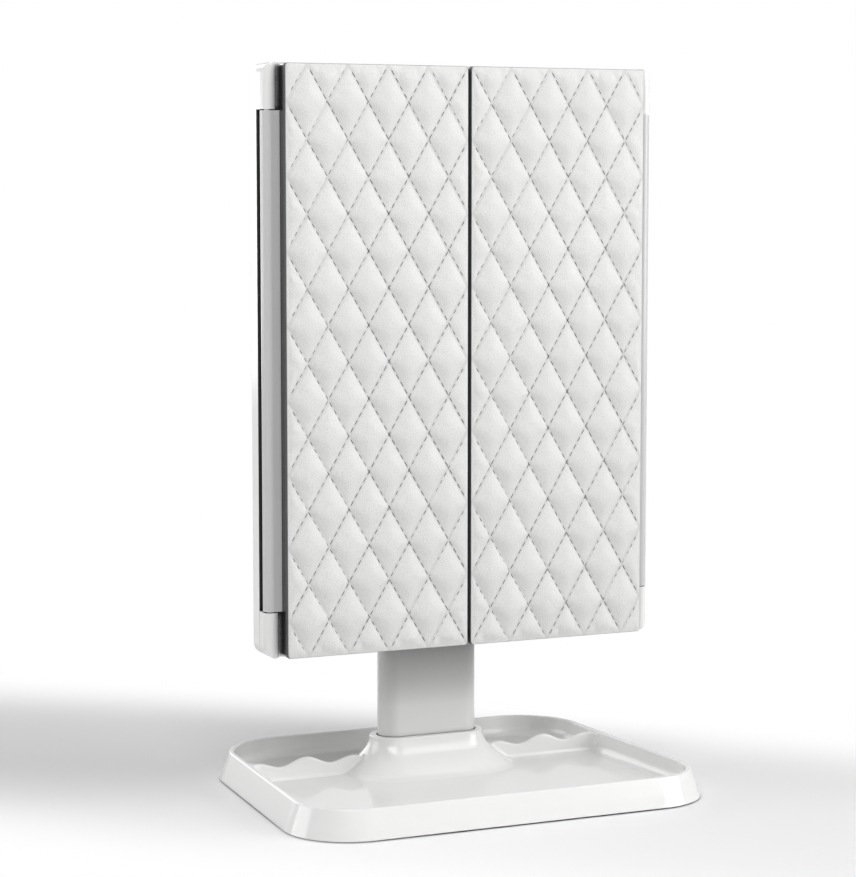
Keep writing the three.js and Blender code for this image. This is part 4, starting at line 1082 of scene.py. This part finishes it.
        # The crest stays a hair wide, so that its faces don't fall together.
        dome = [(half * math.cos(a) + self.hair, top - half + half * math.sin(a)) for a in arc]
        low = self.floor_z + self.divider_fillet
        upright = [(half, low + (top - half - low) * k / 8) for k in range(1, 9)]
        profile = [(foot, root), (foot, self.floor_z - self.hair), *fillet, *upright, *dome]
        with editing(strip):
            choose(strip, "EDGE", lambda e: abs(e.verts[0].co.x - e.verts[1].co.x) > MM)
            bpy.ops.mesh.subdivide(number_cuts=4 * round(length))
            choose(strip, "FACE", lambda f: True)
            for (wide, z), (next_wide, next_z) in zip(profile, profile[1:]):
                bpy.ops.mesh.extrude_region_move(TRANSFORM_OT_translate={"value": (0, 0, (next_z - z) * MM)})
                bpy.ops.transform.resize(
                    value=(1, next_wide / wide, 1), center_override=(0, self.post_y * MM, 0)
                )
        for vertex in strip.data.vertices:
            # Past its last crest the edge stays level, and meets the wall just below the rim.
            across = abs(vertex.co.x) / MM
            along = min(across - self.wave_crest, self.wave_length)
            wave = self.wave_swing * math.cos(math.tau * along / self.wave_length)
            rise = wave - self.wave_droop * along**2
            rise += self.fillet(across - self.skirt_at(top + rise), self.hub_rise)
            share = max(vertex.co.z / MM - low, 0) / (top - low)
            vertex.co.z += rise * share * MM
            beside = vertex.co.y / MM - self.post_y
            beside += math.copysign(self.end_flare(across, vertex.co.z / MM), beside)
            vertex.co.y = (self.post_y + beside) * MM
        with editing(strip):
            choose(strip, "EDGE", lambda e: e.is_boundary)
            bpy.ops.mesh.edge_face_add()
        face_outwards(strip)
        face_outwards(tray)
        apply_modifier(tray, "BOOLEAN", operation="UNION", object=strip, solver="EXACT")
        bpy.data.objects.remove(strip)

    def fillet(self, near: float, radius: float) -> float:
        """Says how far a fillet stands off, at a distance from the face that it runs into."""
        short = min(max(radius - near, 0), radius)
        return radius - math.sqrt(radius**2 - short**2)

    def skirt_at(self, z: float) -> float:
        """Says how far the skirt of the hub reaches across at a height."""
        up = min(max((z - self.floor_z) / (self.hub_rim_z - self.floor_z), 0), 1)
        return self.post_width / 2 + self.hub_lip + self.hub_flare * (1 - up) ** 2

    def end_flare(self, across: float, z: float) -> float:
        """Says how much a divider widens, so that it runs into the hub and the wall in a fillet.

        Args:
            across: Distance from the middle of the tray.
            z: Height.

        Returns:
            What is added on each side of the divider.
        """
        along = (self.post_y + self.depth / 2) / self.depth
        foot = (self.front_width + (self.back_width - self.front_width) * along) / 2
        down = (self.rim_z - z) / (self.rim_z - self.floor_z)
        wall = foot - self.lean - self.wall - self.draft * down
        # The end of the hub is round, so its fillet ends a little further in.
        hub = self.skirt_at(z) - self.hub_end
        return self.fillet(wall - across, self.wall_fillet) + self.fillet(across - hub, self.hub_fillet)

    def hollow_underside(self, tray: Object) -> None:
        """Closes the foot of the tray and sinks the bed of its cover."""
        with editing(tray):
            choose(tray, "EDGE", lambda e: e.is_boundary and e.verts[0].co.z < (self.foot_z + 0.1) * MM)
            bpy.ops.mesh.edge_face_add()
            bpy.ops.mesh.select_mode(type="FACE")
            bpy.ops.mesh.inset(thickness=self.wall * MM, depth=0)
            bpy.ops.mesh.extrude_region_move(TRANSFORM_OT_translate={"value": (0, 0, self.recess * MM)})


# The doors


class Hand(Enum):
    """The side that a door hangs on, as seen from the front."""

    LEFT = -1
    RIGHT = 1


@dataclass
class Door:
    """Sizes that the pads, the stitches and the finish of a door share."""

    half_span: float = 90.0
    seam: float = 1.5
    height: float = 267.0
    middle_z: float = 205.4
    face_y: float = -22.7
    columns: float = 4.5
    rows: int = 8

    @property
    def width(self) -> float:
        """Width of one door."""
        return self.half_span - self.seam / 2

    @property
    def diamond(self) -> tuple[float, float]:
        """Width and height of a diamond of the quilting."""
        return self.width / self.columns, self.height / self.rows

    def lines_near(self, across: float, up: float) -> tuple[float, float]:
        """Says where a point lies among the two sets of stitch lines, which run at whole numbers.

        Args:
            across: Distance from the seam.
            up: Distance from the bottom edge.

        Returns:
            The place among the rising and among the falling lines.
        """
        wide, high = self.diamond
        return across / wide + up / high, across / wide - up / high


@dataclass
class QuiltedPad:
    """The padded face of a door: leatherette on foam, blown up between its stitch lines by a simulation."""

    door: Door
    cuts: int = 12
    thickness: float = 3.0
    puff: float = 2.2
    slack: float = 0.05
    pressure: float = 16.0
    stiffness: float = 40.0
    shear: float = 20.0
    bending: float = 2.0
    damping: float = 4.0
    edge_round: float = 0.5
    crease: float = 0.85
    seam_reach: float = 1.4
    frames: int = 24
    big: float = 10.0

    seam_attribute = "seam_distance"

    def build(self, finishes: Finishes) -> None:
        """Makes both pads, the left one as the mirror image of the right one."""
        right = self.skin()
        self.blow_up(right)
        self.close(right)
        select_only(right)
        bpy.ops.object.duplicate()
        left = bpy.context.object
        left.scale.x = -1
        place_mesh(left)
        for pad, hand in ((right, Hand.RIGHT), (left, Hand.LEFT)):
            name = hand.name.lower()
            face_outwards(pad)
            select_only(pad)
            bpy.ops.object.shade_smooth()
            stands_for = [f"{name}_door_pad"]
            fit_out(pad, f"{name}_quilting", finishes.leather, f"{name}_door", stands_for)

    def skin(self) -> Object:
        """Makes the flat skin, whose small faces run along the stitch lines.

        Returns:
            The skin, upright at its place, ten times as large so that the simulation is steady.
        """
        bpy.ops.object.select_all(action="DESELECT")
        across, up = round(self.door.columns * self.cuts), self.door.rows * self.cuts
        bpy.ops.mesh.primitive_grid_add(x_subdivisions=across, y_subdivisions=up, size=1)
        skin = bpy.context.object
        scale = self.big * MM
        # A unit grid lies from -0.5 to 0.5, and its y becomes the height of the door.
        skin.matrix_world = (
            Matrix.Translation(Vector((self.door.seam / 2 + self.door.width / 2, 0, 0)) * scale)
            @ Matrix.Rotation(math.pi / 2, 4, "X")
            @ Matrix.Diagonal((self.door.width * scale, self.door.height * scale, 1, 1))
        )
        place_mesh(skin)
        corners = len(skin.data.vertices)
        with editing(skin):
            bpy.ops.mesh.select_all(action="SELECT")
            bpy.ops.mesh.poke()
            choose(skin, "EDGE", lambda e: not e.is_boundary and all(v.index < corners for v in e.verts))
            bpy.ops.mesh.dissolve_edges(use_verts=False)
        return skin

    def place_in_quilt(self, skin: Object) -> np.ndarray:
        """Says how far each vertex lies from the nearest stitch line.

        Args:
            skin: The skin at its large size.

        Returns:
            For each vertex, its distances to the nearest rising and falling line, as shares of a diamond.
        """
        count = len(skin.data.vertices)
        places = np.empty(count * 3)
        skin.data.vertices.foreach_get("co", places)
        places = places.reshape(-1, 3) / (self.big * MM)
        wide, high = self.door.diamond
        across = (places[:, 0] - self.door.seam / 2) / wide
        up = (places[:, 2] + self.door.height / 2) / high
        lines = np.stack([across + up, across - up])
        return np.abs(lines - np.round(lines))

    def blow_up(self, skin: Object) -> None:
        """Blows up the skin between its stitch lines, and caps how far it may stand out."""
        held = np.min(self.place_in_quilt(skin), axis=0) < 1e-3
        group = skin.vertex_groups.new(name="stitches")
        edge = self.edge_vertices(skin)
        group.add([int(i) for i in np.flatnonzero(held | edge)], 1.0, "REPLACE")
        rest = np.array([vertex.co[:] for vertex in skin.data.vertices])
        select_only(skin)
        bpy.ops.object.modifier_add(type="CLOTH")
        cloth = skin.modifiers[-1]
        settings = cloth.settings
        settings.quality = 8
        settings.mass = 0.2
        settings.tension_stiffness = settings.compression_stiffness = self.stiffness
        settings.shear_stiffness = self.shear
        settings.bending_stiffness = self.bending
        settings.air_damping = self.damping
        settings.use_pressure = True
        settings.uniform_pressure_force = self.pressure
        settings.shrink_min = -self.slack
        settings.vertex_group_mass = group.name
        settings.effector_weights.gravity = 0
        cloth.collision_settings.use_collision = False
        cloth.point_cache.frame_start = 1
        cloth.point_cache.frame_end = self.frames
        for frame in range(1, self.frames + 1):
            bpy.context.scene.frame_set(frame)
        bpy.ops.object.modifier_apply(modifier=cloth.name)
        bpy.context.scene.frame_set(1)
        scale = self.big * MM
        cap = self.puff * scale
        aside = cap / 4
        for vertex, start in zip(skin.data.vertices, rest):
            across, out, up = np.array(vertex.co) - start
            move = (np.clip(across, -aside, aside), -min(abs(out), cap), np.clip(up, -aside, aside))
            vertex.co = start + np.array(move)
        most = max(start[1] - vertex.co.y for start, vertex in zip(rest, skin.data.vertices))
        LOG.info("pad blown up, %.2f mm at most", most / scale)

    def edge_vertices(self, skin: Object) -> np.ndarray:
        """Says which vertices lie on the edge of the skin."""
        scale = self.big * MM
        left, right = self.door.seam / 2 * scale, self.door.half_span * scale
        half = self.door.height / 2 * scale
        tiny = 0.01 * scale
        places = [v.co for v in skin.data.vertices]
        return np.array([p.x < left + tiny or p.x > right - tiny or abs(p.z) > half - tiny for p in places])

    def close(self, skin: Object) -> None:
        """Sets the skin at its real size, draws its sides in to a rounded edge and closes its back."""
        door = self.door
        distance = np.min(self.place_in_quilt(skin), axis=0) * min(door.diamond)
        middle = door.seam / 2 + door.width / 2
        skin.data.transform(
            Matrix.Translation((0, door.face_y * MM, door.middle_z * MM)) @ Matrix.Scale(1 / self.big, 4)
        )
        near = skin.data.attributes.new(self.seam_attribute, "FLOAT", "POINT")
        near.data.foreach_set("value", np.minimum(distance / self.seam_reach, 1.0).astype(np.float32))
        crease = skin.data.attributes.new("crease_edge", "FLOAT", "EDGE")
        on_line = distance < 0.01
        stitched = [all(on_line[i] for i in e.vertices) and self.along_line(skin, e) for e in skin.data.edges]
        crease.data.foreach_set("value", np.array(stitched, np.float32) * np.float32(self.crease))
        centre = (middle * MM, 0, door.middle_z * MM)
        wide, high = door.width - 2 * self.edge_round, door.height - 2 * self.edge_round
        steps = [
            (self.edge_round * (1 - math.sin(a)), self.edge_round * (1 - math.cos(a)))
            for a in (math.pi / 2 * k / 3 for k in range(1, 4))
        ]
        with editing(skin):
            choose(skin, "VERT", lambda v: True)
            bpy.ops.transform.resize(value=(wide / door.width, 1, high / door.height), center_override=centre)
            choose(skin, "EDGE", lambda e: e.is_boundary)
            depth = 0.0
            for inset, behind in [*steps, (0.0, self.thickness)]:
                grown = ((door.width - 2 * inset) / wide, 1, (door.height - 2 * inset) / high)
                bpy.ops.mesh.extrude_region_move(
                    TRANSFORM_OT_translate={"value": (0, (behind - depth) * MM, 0)}
                )
                bpy.ops.transform.resize(value=grown, center_override=centre)
                wide, high = door.width - 2 * inset, door.height - 2 * inset
                depth = behind
        apply_modifier(skin, "SUBSURF", levels=1, render_levels=1, boundary_smooth="PRESERVE_CORNERS")
        with editing(skin):
            choose(skin, "EDGE", lambda e: e.is_boundary)
            bpy.ops.mesh.edge_face_add()

    def along_line(self, skin: Object, edge: MeshEdge) -> bool:
        """Says whether an edge runs along a stitch line, and not across from one line to another."""
        a, b = (skin.data.vertices[i].co for i in edge.vertices)
        wide, high = self.door.diamond
        across, up = abs(a.x - b.x) / MM / wide, abs(a.z - b.z) / MM / high
        return abs(across - up) < 0.01


@dataclass
class Stitching:
    """Rows of stitches along the diagonals of a door, each stitch a short arched length of thread."""

    door: Door
    length: float = 3.2
    pitch: float = 4.0
    radius: float = 0.19
    proud: float = 0.06
    proud_of_first_rows: float = 0.03
    margin: float = 1.6

    def build(self, finishes: Finishes) -> None:
        """Makes the stitches of both doors."""
        stitch = self.stitch()
        for hand in Hand:
            rows = [self.row(stitch, hand, start, end) for start, end in self.diagonals()]
            bpy.ops.object.select_all(action="DESELECT")
            for row in rows:
                row.select_set(True)
            bpy.context.view_layer.objects.active = rows[0]
            bpy.ops.object.join()
            whole = bpy.context.object
            face_outwards(whole)
            select_only(whole)
            bpy.ops.object.shade_smooth()
            name = hand.name.lower()
            fit_out(whole, f"{name}_stitching", finishes.thread, f"{name}_door")
        bpy.data.objects.remove(stitch)

    def stitch(self) -> Object:
        """Makes one stitch along +X, whose ends dip into the leatherette.

        Returns:
            The stitch at the origin.
        """
        bpy.ops.object.select_all(action="DESELECT")
        straight = self.length * 0.5
        bpy.ops.mesh.primitive_cylinder_add(
            vertices=6, radius=self.radius * MM, depth=straight * MM, rotation=(0, math.pi / 2, 0)
        )
        stitch = bpy.context.object
        place_mesh(stitch)
        dip = (self.length - straight) / 2
        with editing(stitch):
            for end in (-1, 1):
                choose(stitch, "FACE", lambda f, end=end: f.normal.x * end > 0.9)
                bpy.ops.mesh.extrude_region_move(
                    TRANSFORM_OT_translate={"value": (end * dip * MM, self.radius * MM, 0)}
                )
                bpy.ops.transform.resize(value=(1, 0.55, 0.55))
        return stitch

    def diagonals(self) -> list[tuple[Vector, Vector]]:
        """Lists the stitch lines of a door.

        Returns:
            For each line its two ends, across from the seam and up from the bottom edge.
        """
        door = self.door
        wide, high = door.diamond
        ends = []
        low, across, up = self.margin, door.width - self.margin, door.height - self.margin
        for rising in (1, -1):
            first = 0 if rising < 0 else -door.rows
            count = round(door.columns) + door.rows + 2
            for number in range(first - 1, first + count):
                # On a line, across / wide - rising * up / high is a whole number.
                points = []
                for x in (low, across):
                    z = rising * (x / wide - number) * high
                    if low <= z <= up:
                        points.append(Vector((x, z)))
                for z in (low, up):
                    x = (number + rising * z / high) * wide
                    if low < x < across:
                        points.append(Vector((x, z)))
                if len(points) >= 2 and (points[0] - points[1]).length > 2 * self.pitch:
                    ends.append((points[0], points[1]))
        return ends

    def row(self, stitch: Object, hand: Hand, start: Vector, end: Vector) -> Object:
        """Lays a row of stitches on a door.

        Args:
            stitch: The stitch that is repeated.
            hand: The door's side.
            start: One end of the line, across from the seam and up from the bottom edge.
            end: The other end.

        Returns:
            The row, with its place in its mesh.
        """
        door = self.door
        select_only(stitch)
        bpy.ops.object.duplicate()
        row = bpy.context.object
        line = end - start
        count = int(line.length / self.pitch)
        apply_modifier(
            row,
            "ARRAY",
            count=count,
            use_relative_offset=False,
            use_constant_offset=True,
            constant_offset_displace=(self.pitch * MM, 0, 0),
        )
        spare = (line.length - (count - 1) * self.pitch) / 2
        first = start + line.normalized() * spare
        # The rows that lean to the right are sewn first, and lie a little deeper.
        proud = self.proud_of_first_rows if hand.value * line.x * line.y > 0 else self.proud
        place = Vector((hand.value * (door.seam / 2 + first.x), door.face_y - proud, first.y))
        place.z += door.middle_z - door.height / 2
        turn = math.atan2(line.y, hand.value * line.x)
        row.matrix_world = Matrix.Translation(place * MM) @ Matrix.Rotation(-turn, 4, "Y")
        place_mesh(row)
        return row


# The screws and the CAD pieces


@dataclass
class Screws:
    """Pan-head screws with a cross recess, one modelled for each size."""

    recess_depth: float = 0.45

    def build(self, finishes: Finishes) -> None:
        """Makes every screw of the mirror over its CAD node."""
        sets = (
            ("base_screw_", 4, "base", Vector((0, 0, -1))),
            ("post_screw_", 2, "base", Vector((0, 0, -1))),
            ("bracket_screw_", 4, "head", Vector((0, 1, 0))),
            ("rear_screw_", 4, "head", Vector((0, 1, 0))),
        )
        for prefix, count, body, facing in sets:
            pattern = self.screw(prefix + "1", facing)
            first = self.head_centre(prefix + "1", facing)
            for i in range(1, count + 1):
                node = f"{prefix}{i}"
                select_only(pattern)
                bpy.ops.object.duplicate()
                screw = bpy.context.object
                screw.location = self.head_centre(node, facing) - first
                place_mesh(screw)
                name = f"{prefix.rstrip('_')}_with_recess_{i}"
                fit_out(screw, name, finishes.steel, body, [node])
            bpy.data.objects.remove(pattern)

    def head_centre(self, node: str, facing: Vector) -> Vector:
        """Says where the middle of a screw's head face lies."""
        low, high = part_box(node)
        centre = (low + high) / 2
        reach = (high - low) / 2
        return centre + Vector([facing[i] * reach[i] for i in range(3)])

    def screw(self, node: str, facing: Vector) -> Object:
        """Copies a screw's CAD solid and cuts the recess in its head.

        Args:
            node: The CAD node.
            facing: The way that the head faces.

        Returns:
            The screw at its node's place.
        """
        screw = bpy.data.objects.new("screw", bpy.data.objects[node].data.copy())
        bpy.context.scene.collection.objects.link(screw)
        face_outwards(screw)
        low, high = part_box(node)
        size = sorted(high - low)[1]
        apply_modifier(
            screw, "BEVEL", width=0.25 * MM, segments=3, limit_method="ANGLE", angle_limit=math.radians(50)
        )
        centre = self.head_centre(node, facing)
        for turn in (0, math.pi / 2):
            bpy.ops.object.select_all(action="DESELECT")
            bpy.ops.mesh.primitive_cube_add(size=1)
            bar = bpy.context.object
            bar.matrix_world = (
                Matrix.Translation(centre)
                @ facing.to_track_quat("Z", "Y").to_matrix().to_4x4()
                @ Matrix.Rotation(turn, 4, "Z")
                @ Matrix.Diagonal((size * 0.55, size * 0.13, 2 * self.recess_depth * MM, 1))
            )
            place_mesh(bar)
            apply_modifier(screw, "BOOLEAN", operation="DIFFERENCE", object=bar, solver="EXACT")
            bpy.data.objects.remove(bar)
        shade(screw, 35)
        return screw


@dataclass
class CadPieces:
    """The CAD nodes that stay: their edges are rounded and they get their finish."""

    merge_mm: float = 0.02
    smooth_degrees: float = 35.0

    def build(self, finishes: Finishes, nodes: dict[str, Object]) -> None:
        """Dresses every CAD node that is still shown.

        Args:
            finishes: The finishes.
            nodes: The CAD nodes by name.
        """
        looks = {
            "head_frame": (finishes.head, 0.5),
            "left_door_frame": (finishes.door, 0.4),
            "right_door_frame": (finishes.door, 0.4),
            "post": (finishes.post, 0.5),
            "base_cover": (finishes.satin, 0.2),
            "tilt_bracket": (finishes.satin, 0.6),
            "rear_cover": (finishes.satin, 0.25),
            "battery_door": (finishes.satin, 0.3),
            "power_button": (finishes.gloss, 0.4),
            "main_mirror": (finishes.mirror, 0.2),
            "left_door_mirror": (finishes.mirror, 0.2),
            "right_door_mirror": (finishes.mirror, 0.2),
            "rubber_foot_": (finishes.rubber, 0.4),
            "tilt_pin": (finishes.steel, 0.4),
            "tilt_nut": (finishes.steel, 0.3),
            "friction_washer_": (finishes.steel, 0.1),
            "hinge_pin_": (finishes.steel, 0.2),
            "battery_contact_": (finishes.steel, 0.0),
            "power_inlet": (finishes.steel, 0.1),
            "catch_magnet": (finishes.magnet, 0.15),
            "left_door_magnet": (finishes.magnet, 0.15),
            "right_door_magnet": (finishes.magnet, 0.15),
            "left_door_board": (finishes.board, 0.0),
            "right_door_board": (finishes.board, 0.0),
            "light_diffuser_": (finishes.frosted, 0.15),
            "led_board_": (finishes.led_board, 0.0),
            "control_board": (finishes.circuit, 0.0),
            "power_switch": (finishes.circuit, 0.2),
            "battery_cell_": (finishes.cell, 0.3),
        }
        smoothing = self.smoothing()
        for name, node in sorted(nodes.items()):
            if node.hide_render:
                continue
            prefix = max((p for p in looks if name.startswith(p)), key=len)
            material, bevel = looks[prefix]
            for slot in node.material_slots:
                slot.material = material
            self.round_edges(node, bevel, smoothing)
            LOG.info("%s: CAD node, finish %s", name, material.name)

    def smoothing(self) -> NodeTree:
        """Makes the node group that shades a mesh smooth below an angle.

        Returns:
            The group, for a Geometry Nodes modifier.
        """
        group = bpy.data.node_groups.new("smooth_below_angle", "GeometryNodeTree")
        for way in ("INPUT", "OUTPUT"):
            group.interface.new_socket("Geometry", in_out=way, socket_type="NodeSocketGeometry")
        start = add_node(group, "NodeGroupInput")
        angle = add_node(group, "GeometryNodeInputMeshEdgeAngle")
        soft = add_node(
            group,
            "FunctionNodeCompare",
            {"operation": "LESS_THAN", 1: math.radians(self.smooth_degrees)},
            {0: angle.outputs["Unsigned Angle"]},
        )
        faces = add_node(
            group, "GeometryNodeSetShadeSmooth", {"domain": "FACE"}, {"Geometry": start.outputs["Geometry"]}
        )
        edges = add_node(
            group,
            "GeometryNodeSetShadeSmooth",
            {"domain": "EDGE"},
            {"Geometry": faces.outputs["Geometry"], "Shade Smooth": soft.outputs["Result"]},
        )
        add_node(group, "NodeGroupOutput", links={"Geometry": edges.outputs["Geometry"]})
        return group

    def round_edges(self, node: Object, bevel: float, smoothing: NodeTree) -> None:
        """Adds the modifiers that round a CAD node's edges and smooth its curved faces.

        Args:
            node: The CAD node, whose own mesh isn't changed.
            bevel: The radius of its edges, or 0.
            smoothing: The group that smooths below an angle.
        """
        weld = node.modifiers.new("weld", "WELD")
        weld.merge_threshold = self.merge_mm * MM
        flat = node.modifiers.new("flat_faces", "DECIMATE")
        flat.decimate_type = "DISSOLVE"
        flat.angle_limit = math.radians(0.5)
        if bevel:
            edge = node.modifiers.new("edges", "BEVEL")
            edge.width = bevel * MM
            edge.segments = 3
            edge.limit_method = "ANGLE"
            edge.angle_limit = math.radians(40)
        smooth = node.modifiers.new("smooth", "NODES")
        smooth.node_group = smoothing
        weighted = node.modifiers.new("weighted_normals", "WEIGHTED_NORMAL")
        weighted.keep_sharp = True


# The studio


@dataclass
class Studio:
    """A pale floor, soft lights, a white surround and the camera of the photograph."""

    camera_turn: float = 23.9
    camera_pitch: float = 5.7
    focal_px: float = 2543.6
    shift_right: float = 19.2
    shift_up: float = 36.7
    distance: float = 1171.5
    aim: tuple[float, float, float] = (0.0, -22.65, 205.4)
    fill: float = 0.03
    lamp_size: float = 0.9
    lamp_distance: float = 1.5
    lamp_aim: float = 0.15
    floor_size: float = 12.0
    floor_colour: str = "#FAFAFA"
    shadow_turn: float = -45.0
    shadow_reach: tuple[float, float, float] = (0.7, 0.17, 1.0)
    fade_from: float = 0.42
    fade_to: float = 1.12

    def build(self) -> None:
        """Makes the camera, the floor, the surround and the lamps."""
        self.camera()
        self.floor()
        self.surround()
        self.lamp("left_softbox", -30.0, 42.0, 12.9)
        self.lamp("right_high_softbox", 45.0, 42.0, 6.0)
        self.lamp("right_low_softbox", 50.0, 15.0, 10.6)
        self.lamp("rear_left_softbox", -115.0, 16.0, 7.0)
        self.lamp("rear_softbox", -165.0, 14.0, 5.4)
        LOG.info("studio: camera, floor, surround and five softboxes")

    def camera(self) -> None:
        """Sets the camera at the photograph's place."""
        turn, pitch = math.radians(self.camera_turn), math.radians(self.camera_pitch)
        level = math.cos(pitch)
        forward = Vector((math.sin(turn) * level, math.cos(turn) * level, -math.sin(pitch)))
        right = Vector((math.cos(turn), -math.sin(turn), 0))
        up = right.cross(forward)
        place = Vector(self.aim) - right * self.shift_right - up * self.shift_up - forward * self.distance
        data = bpy.data.cameras.new("camera")
        data.sensor_width = 36
        data.lens = self.focal_px * data.sensor_width / max(FRAME_WIDTH, FRAME_HEIGHT)
        data.clip_start, data.clip_end = 0.05, 50
        camera = bpy.data.objects.new("camera", data)
        bpy.context.scene.collection.objects.link(camera)
        axes = Matrix((right, up, -forward)).transposed()
        camera.matrix_world = Matrix.Translation(place * MM) @ axes.to_4x4()
        bpy.context.scene.camera = camera

    def floor(self) -> None:
        """Makes the floor, which turns to the white of the surround away from the object."""
        bpy.ops.object.select_all(action="DESELECT")
        bpy.ops.mesh.primitive_plane_add(size=self.floor_size)
        floor = bpy.context.object
        floor.name = "floor"
        material = bpy.data.materials.new("matt_white_floor")
        tree = empty_tree(material)
        coords = add_node(tree, "ShaderNodeTexCoord")
        # The shadows fall to the rear left and the front right; beside that line the floor is white sooner.
        along = add_node(
            tree,
            "ShaderNodeMapping",
            {
                "vector_type": "TEXTURE",
                "Rotation": (0, 0, math.radians(self.shadow_turn)),
                "Scale": self.shadow_reach,
            },
            {"Vector": coords.outputs["Object"]},
        )
        reach = add_node(tree, "ShaderNodeVectorMath", {"operation": "LENGTH"}, {0: along.outputs["Vector"]})
        away = add_node(
            tree,
            "ShaderNodeMapRange",
            {"From Min": self.fade_from, "From Max": self.fade_to, "interpolation_type": "SMOOTHERSTEP"},
            {"Value": reach.outputs["Value"]},
        )
        seen = add_node(
            tree,
            "ShaderNodeMath",
            {"operation": "MULTIPLY"},
            {0: away.outputs["Result"], 1: self.seen_ray(tree)},
        )
        matt = add_node(tree, "ShaderNodeBsdfDiffuse", {"Color": linear(self.floor_colour)})
        white = add_node(tree, "ShaderNodeEmission", {"Strength": 1.0})
        mixed = add_node(
            tree,
            "ShaderNodeMixShader",
            links={0: seen.outputs["Value"], 1: matt.outputs["BSDF"], 2: white.outputs["Emission"]},
        )
        add_node(tree, "ShaderNodeOutputMaterial", links={"Surface": mixed.outputs["Shader"]})
        floor.data.materials.append(material)

    def seen_ray(self, tree: NodeTree) -> NodeSocket:
        """Says whether the camera sees a surface, straight, in a mirror or through glass."""
        path = add_node(tree, "ShaderNodeLightPath")
        first = add_node(
            tree,
            "ShaderNodeMath",
            {"operation": "MAXIMUM"},
            {0: path.outputs["Is Camera Ray"], 1: path.outputs["Is Glossy Ray"]},
        )
        both = add_node(
            tree,
            "ShaderNodeMath",
            {"operation": "MAXIMUM"},
            {0: first.outputs["Value"], 1: path.outputs["Is Transmission Ray"]},
        )
        return both.outputs["Value"]

    def surround(self) -> None:
        """Makes the surround: white where it is seen, and a soft fill light elsewhere."""
        world = bpy.data.worlds.new("surround")
        tree = empty_tree(world)
        strength = add_node(
            tree,
            "ShaderNodeMapRange",
            {"To Min": self.fill, "To Max": 1.0},
            {"Value": self.seen_ray(tree)},
        )
        white = {"Color": linear("#FFFFFF")}
        light = add_node(tree, "ShaderNodeBackground", white, {"Strength": strength.outputs["Result"]})
        add_node(tree, "ShaderNodeOutputWorld", links={"Surface": light.outputs["Background"]})
        bpy.context.scene.world = world

    def lamp(self, name: str, turn: float, lift: float, watts: float) -> None:
        """Adds a softbox that faces the middle of the object.

        Args:
            name: Its name.
            turn: Degrees round from the front, towards the right.
            lift: Degrees above the horizon.
            watts: Its power.
        """
        around, above = math.radians(turn), math.radians(lift)
        level = math.cos(above)
        out = Vector((math.sin(around) * level, -math.cos(around) * level, math.sin(above)))
        data = bpy.data.lights.new(name, "AREA")
        data.shape = "SQUARE"
        data.size = self.lamp_size
        data.energy = watts
        lamp = bpy.data.objects.new(name, data)
        bpy.context.scene.collection.objects.link(lamp)
        place = Vector((0, 0, self.lamp_aim)) + out * self.lamp_distance
        lamp.matrix_world = Matrix.Translation(place) @ out.to_track_quat("Z", "Y").to_matrix().to_4x4()


def main() -> None:
    """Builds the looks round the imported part."""
    logging.basicConfig(level=logging.INFO, format="%(message)s")
    scene = bpy.context.scene
    scene.view_settings.view_transform = "Standard"
    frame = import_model()
    Studio().build()
    finishes = Finishes()
    Tray().build(finishes)
    door = Door()
    QuiltedPad(door).build(finishes)
    Stitching(door).build(finishes)
    Screws().build(finishes)
    CadPieces().build(finishes, frame["nodes"])


if __name__ == "__main__":
    main()
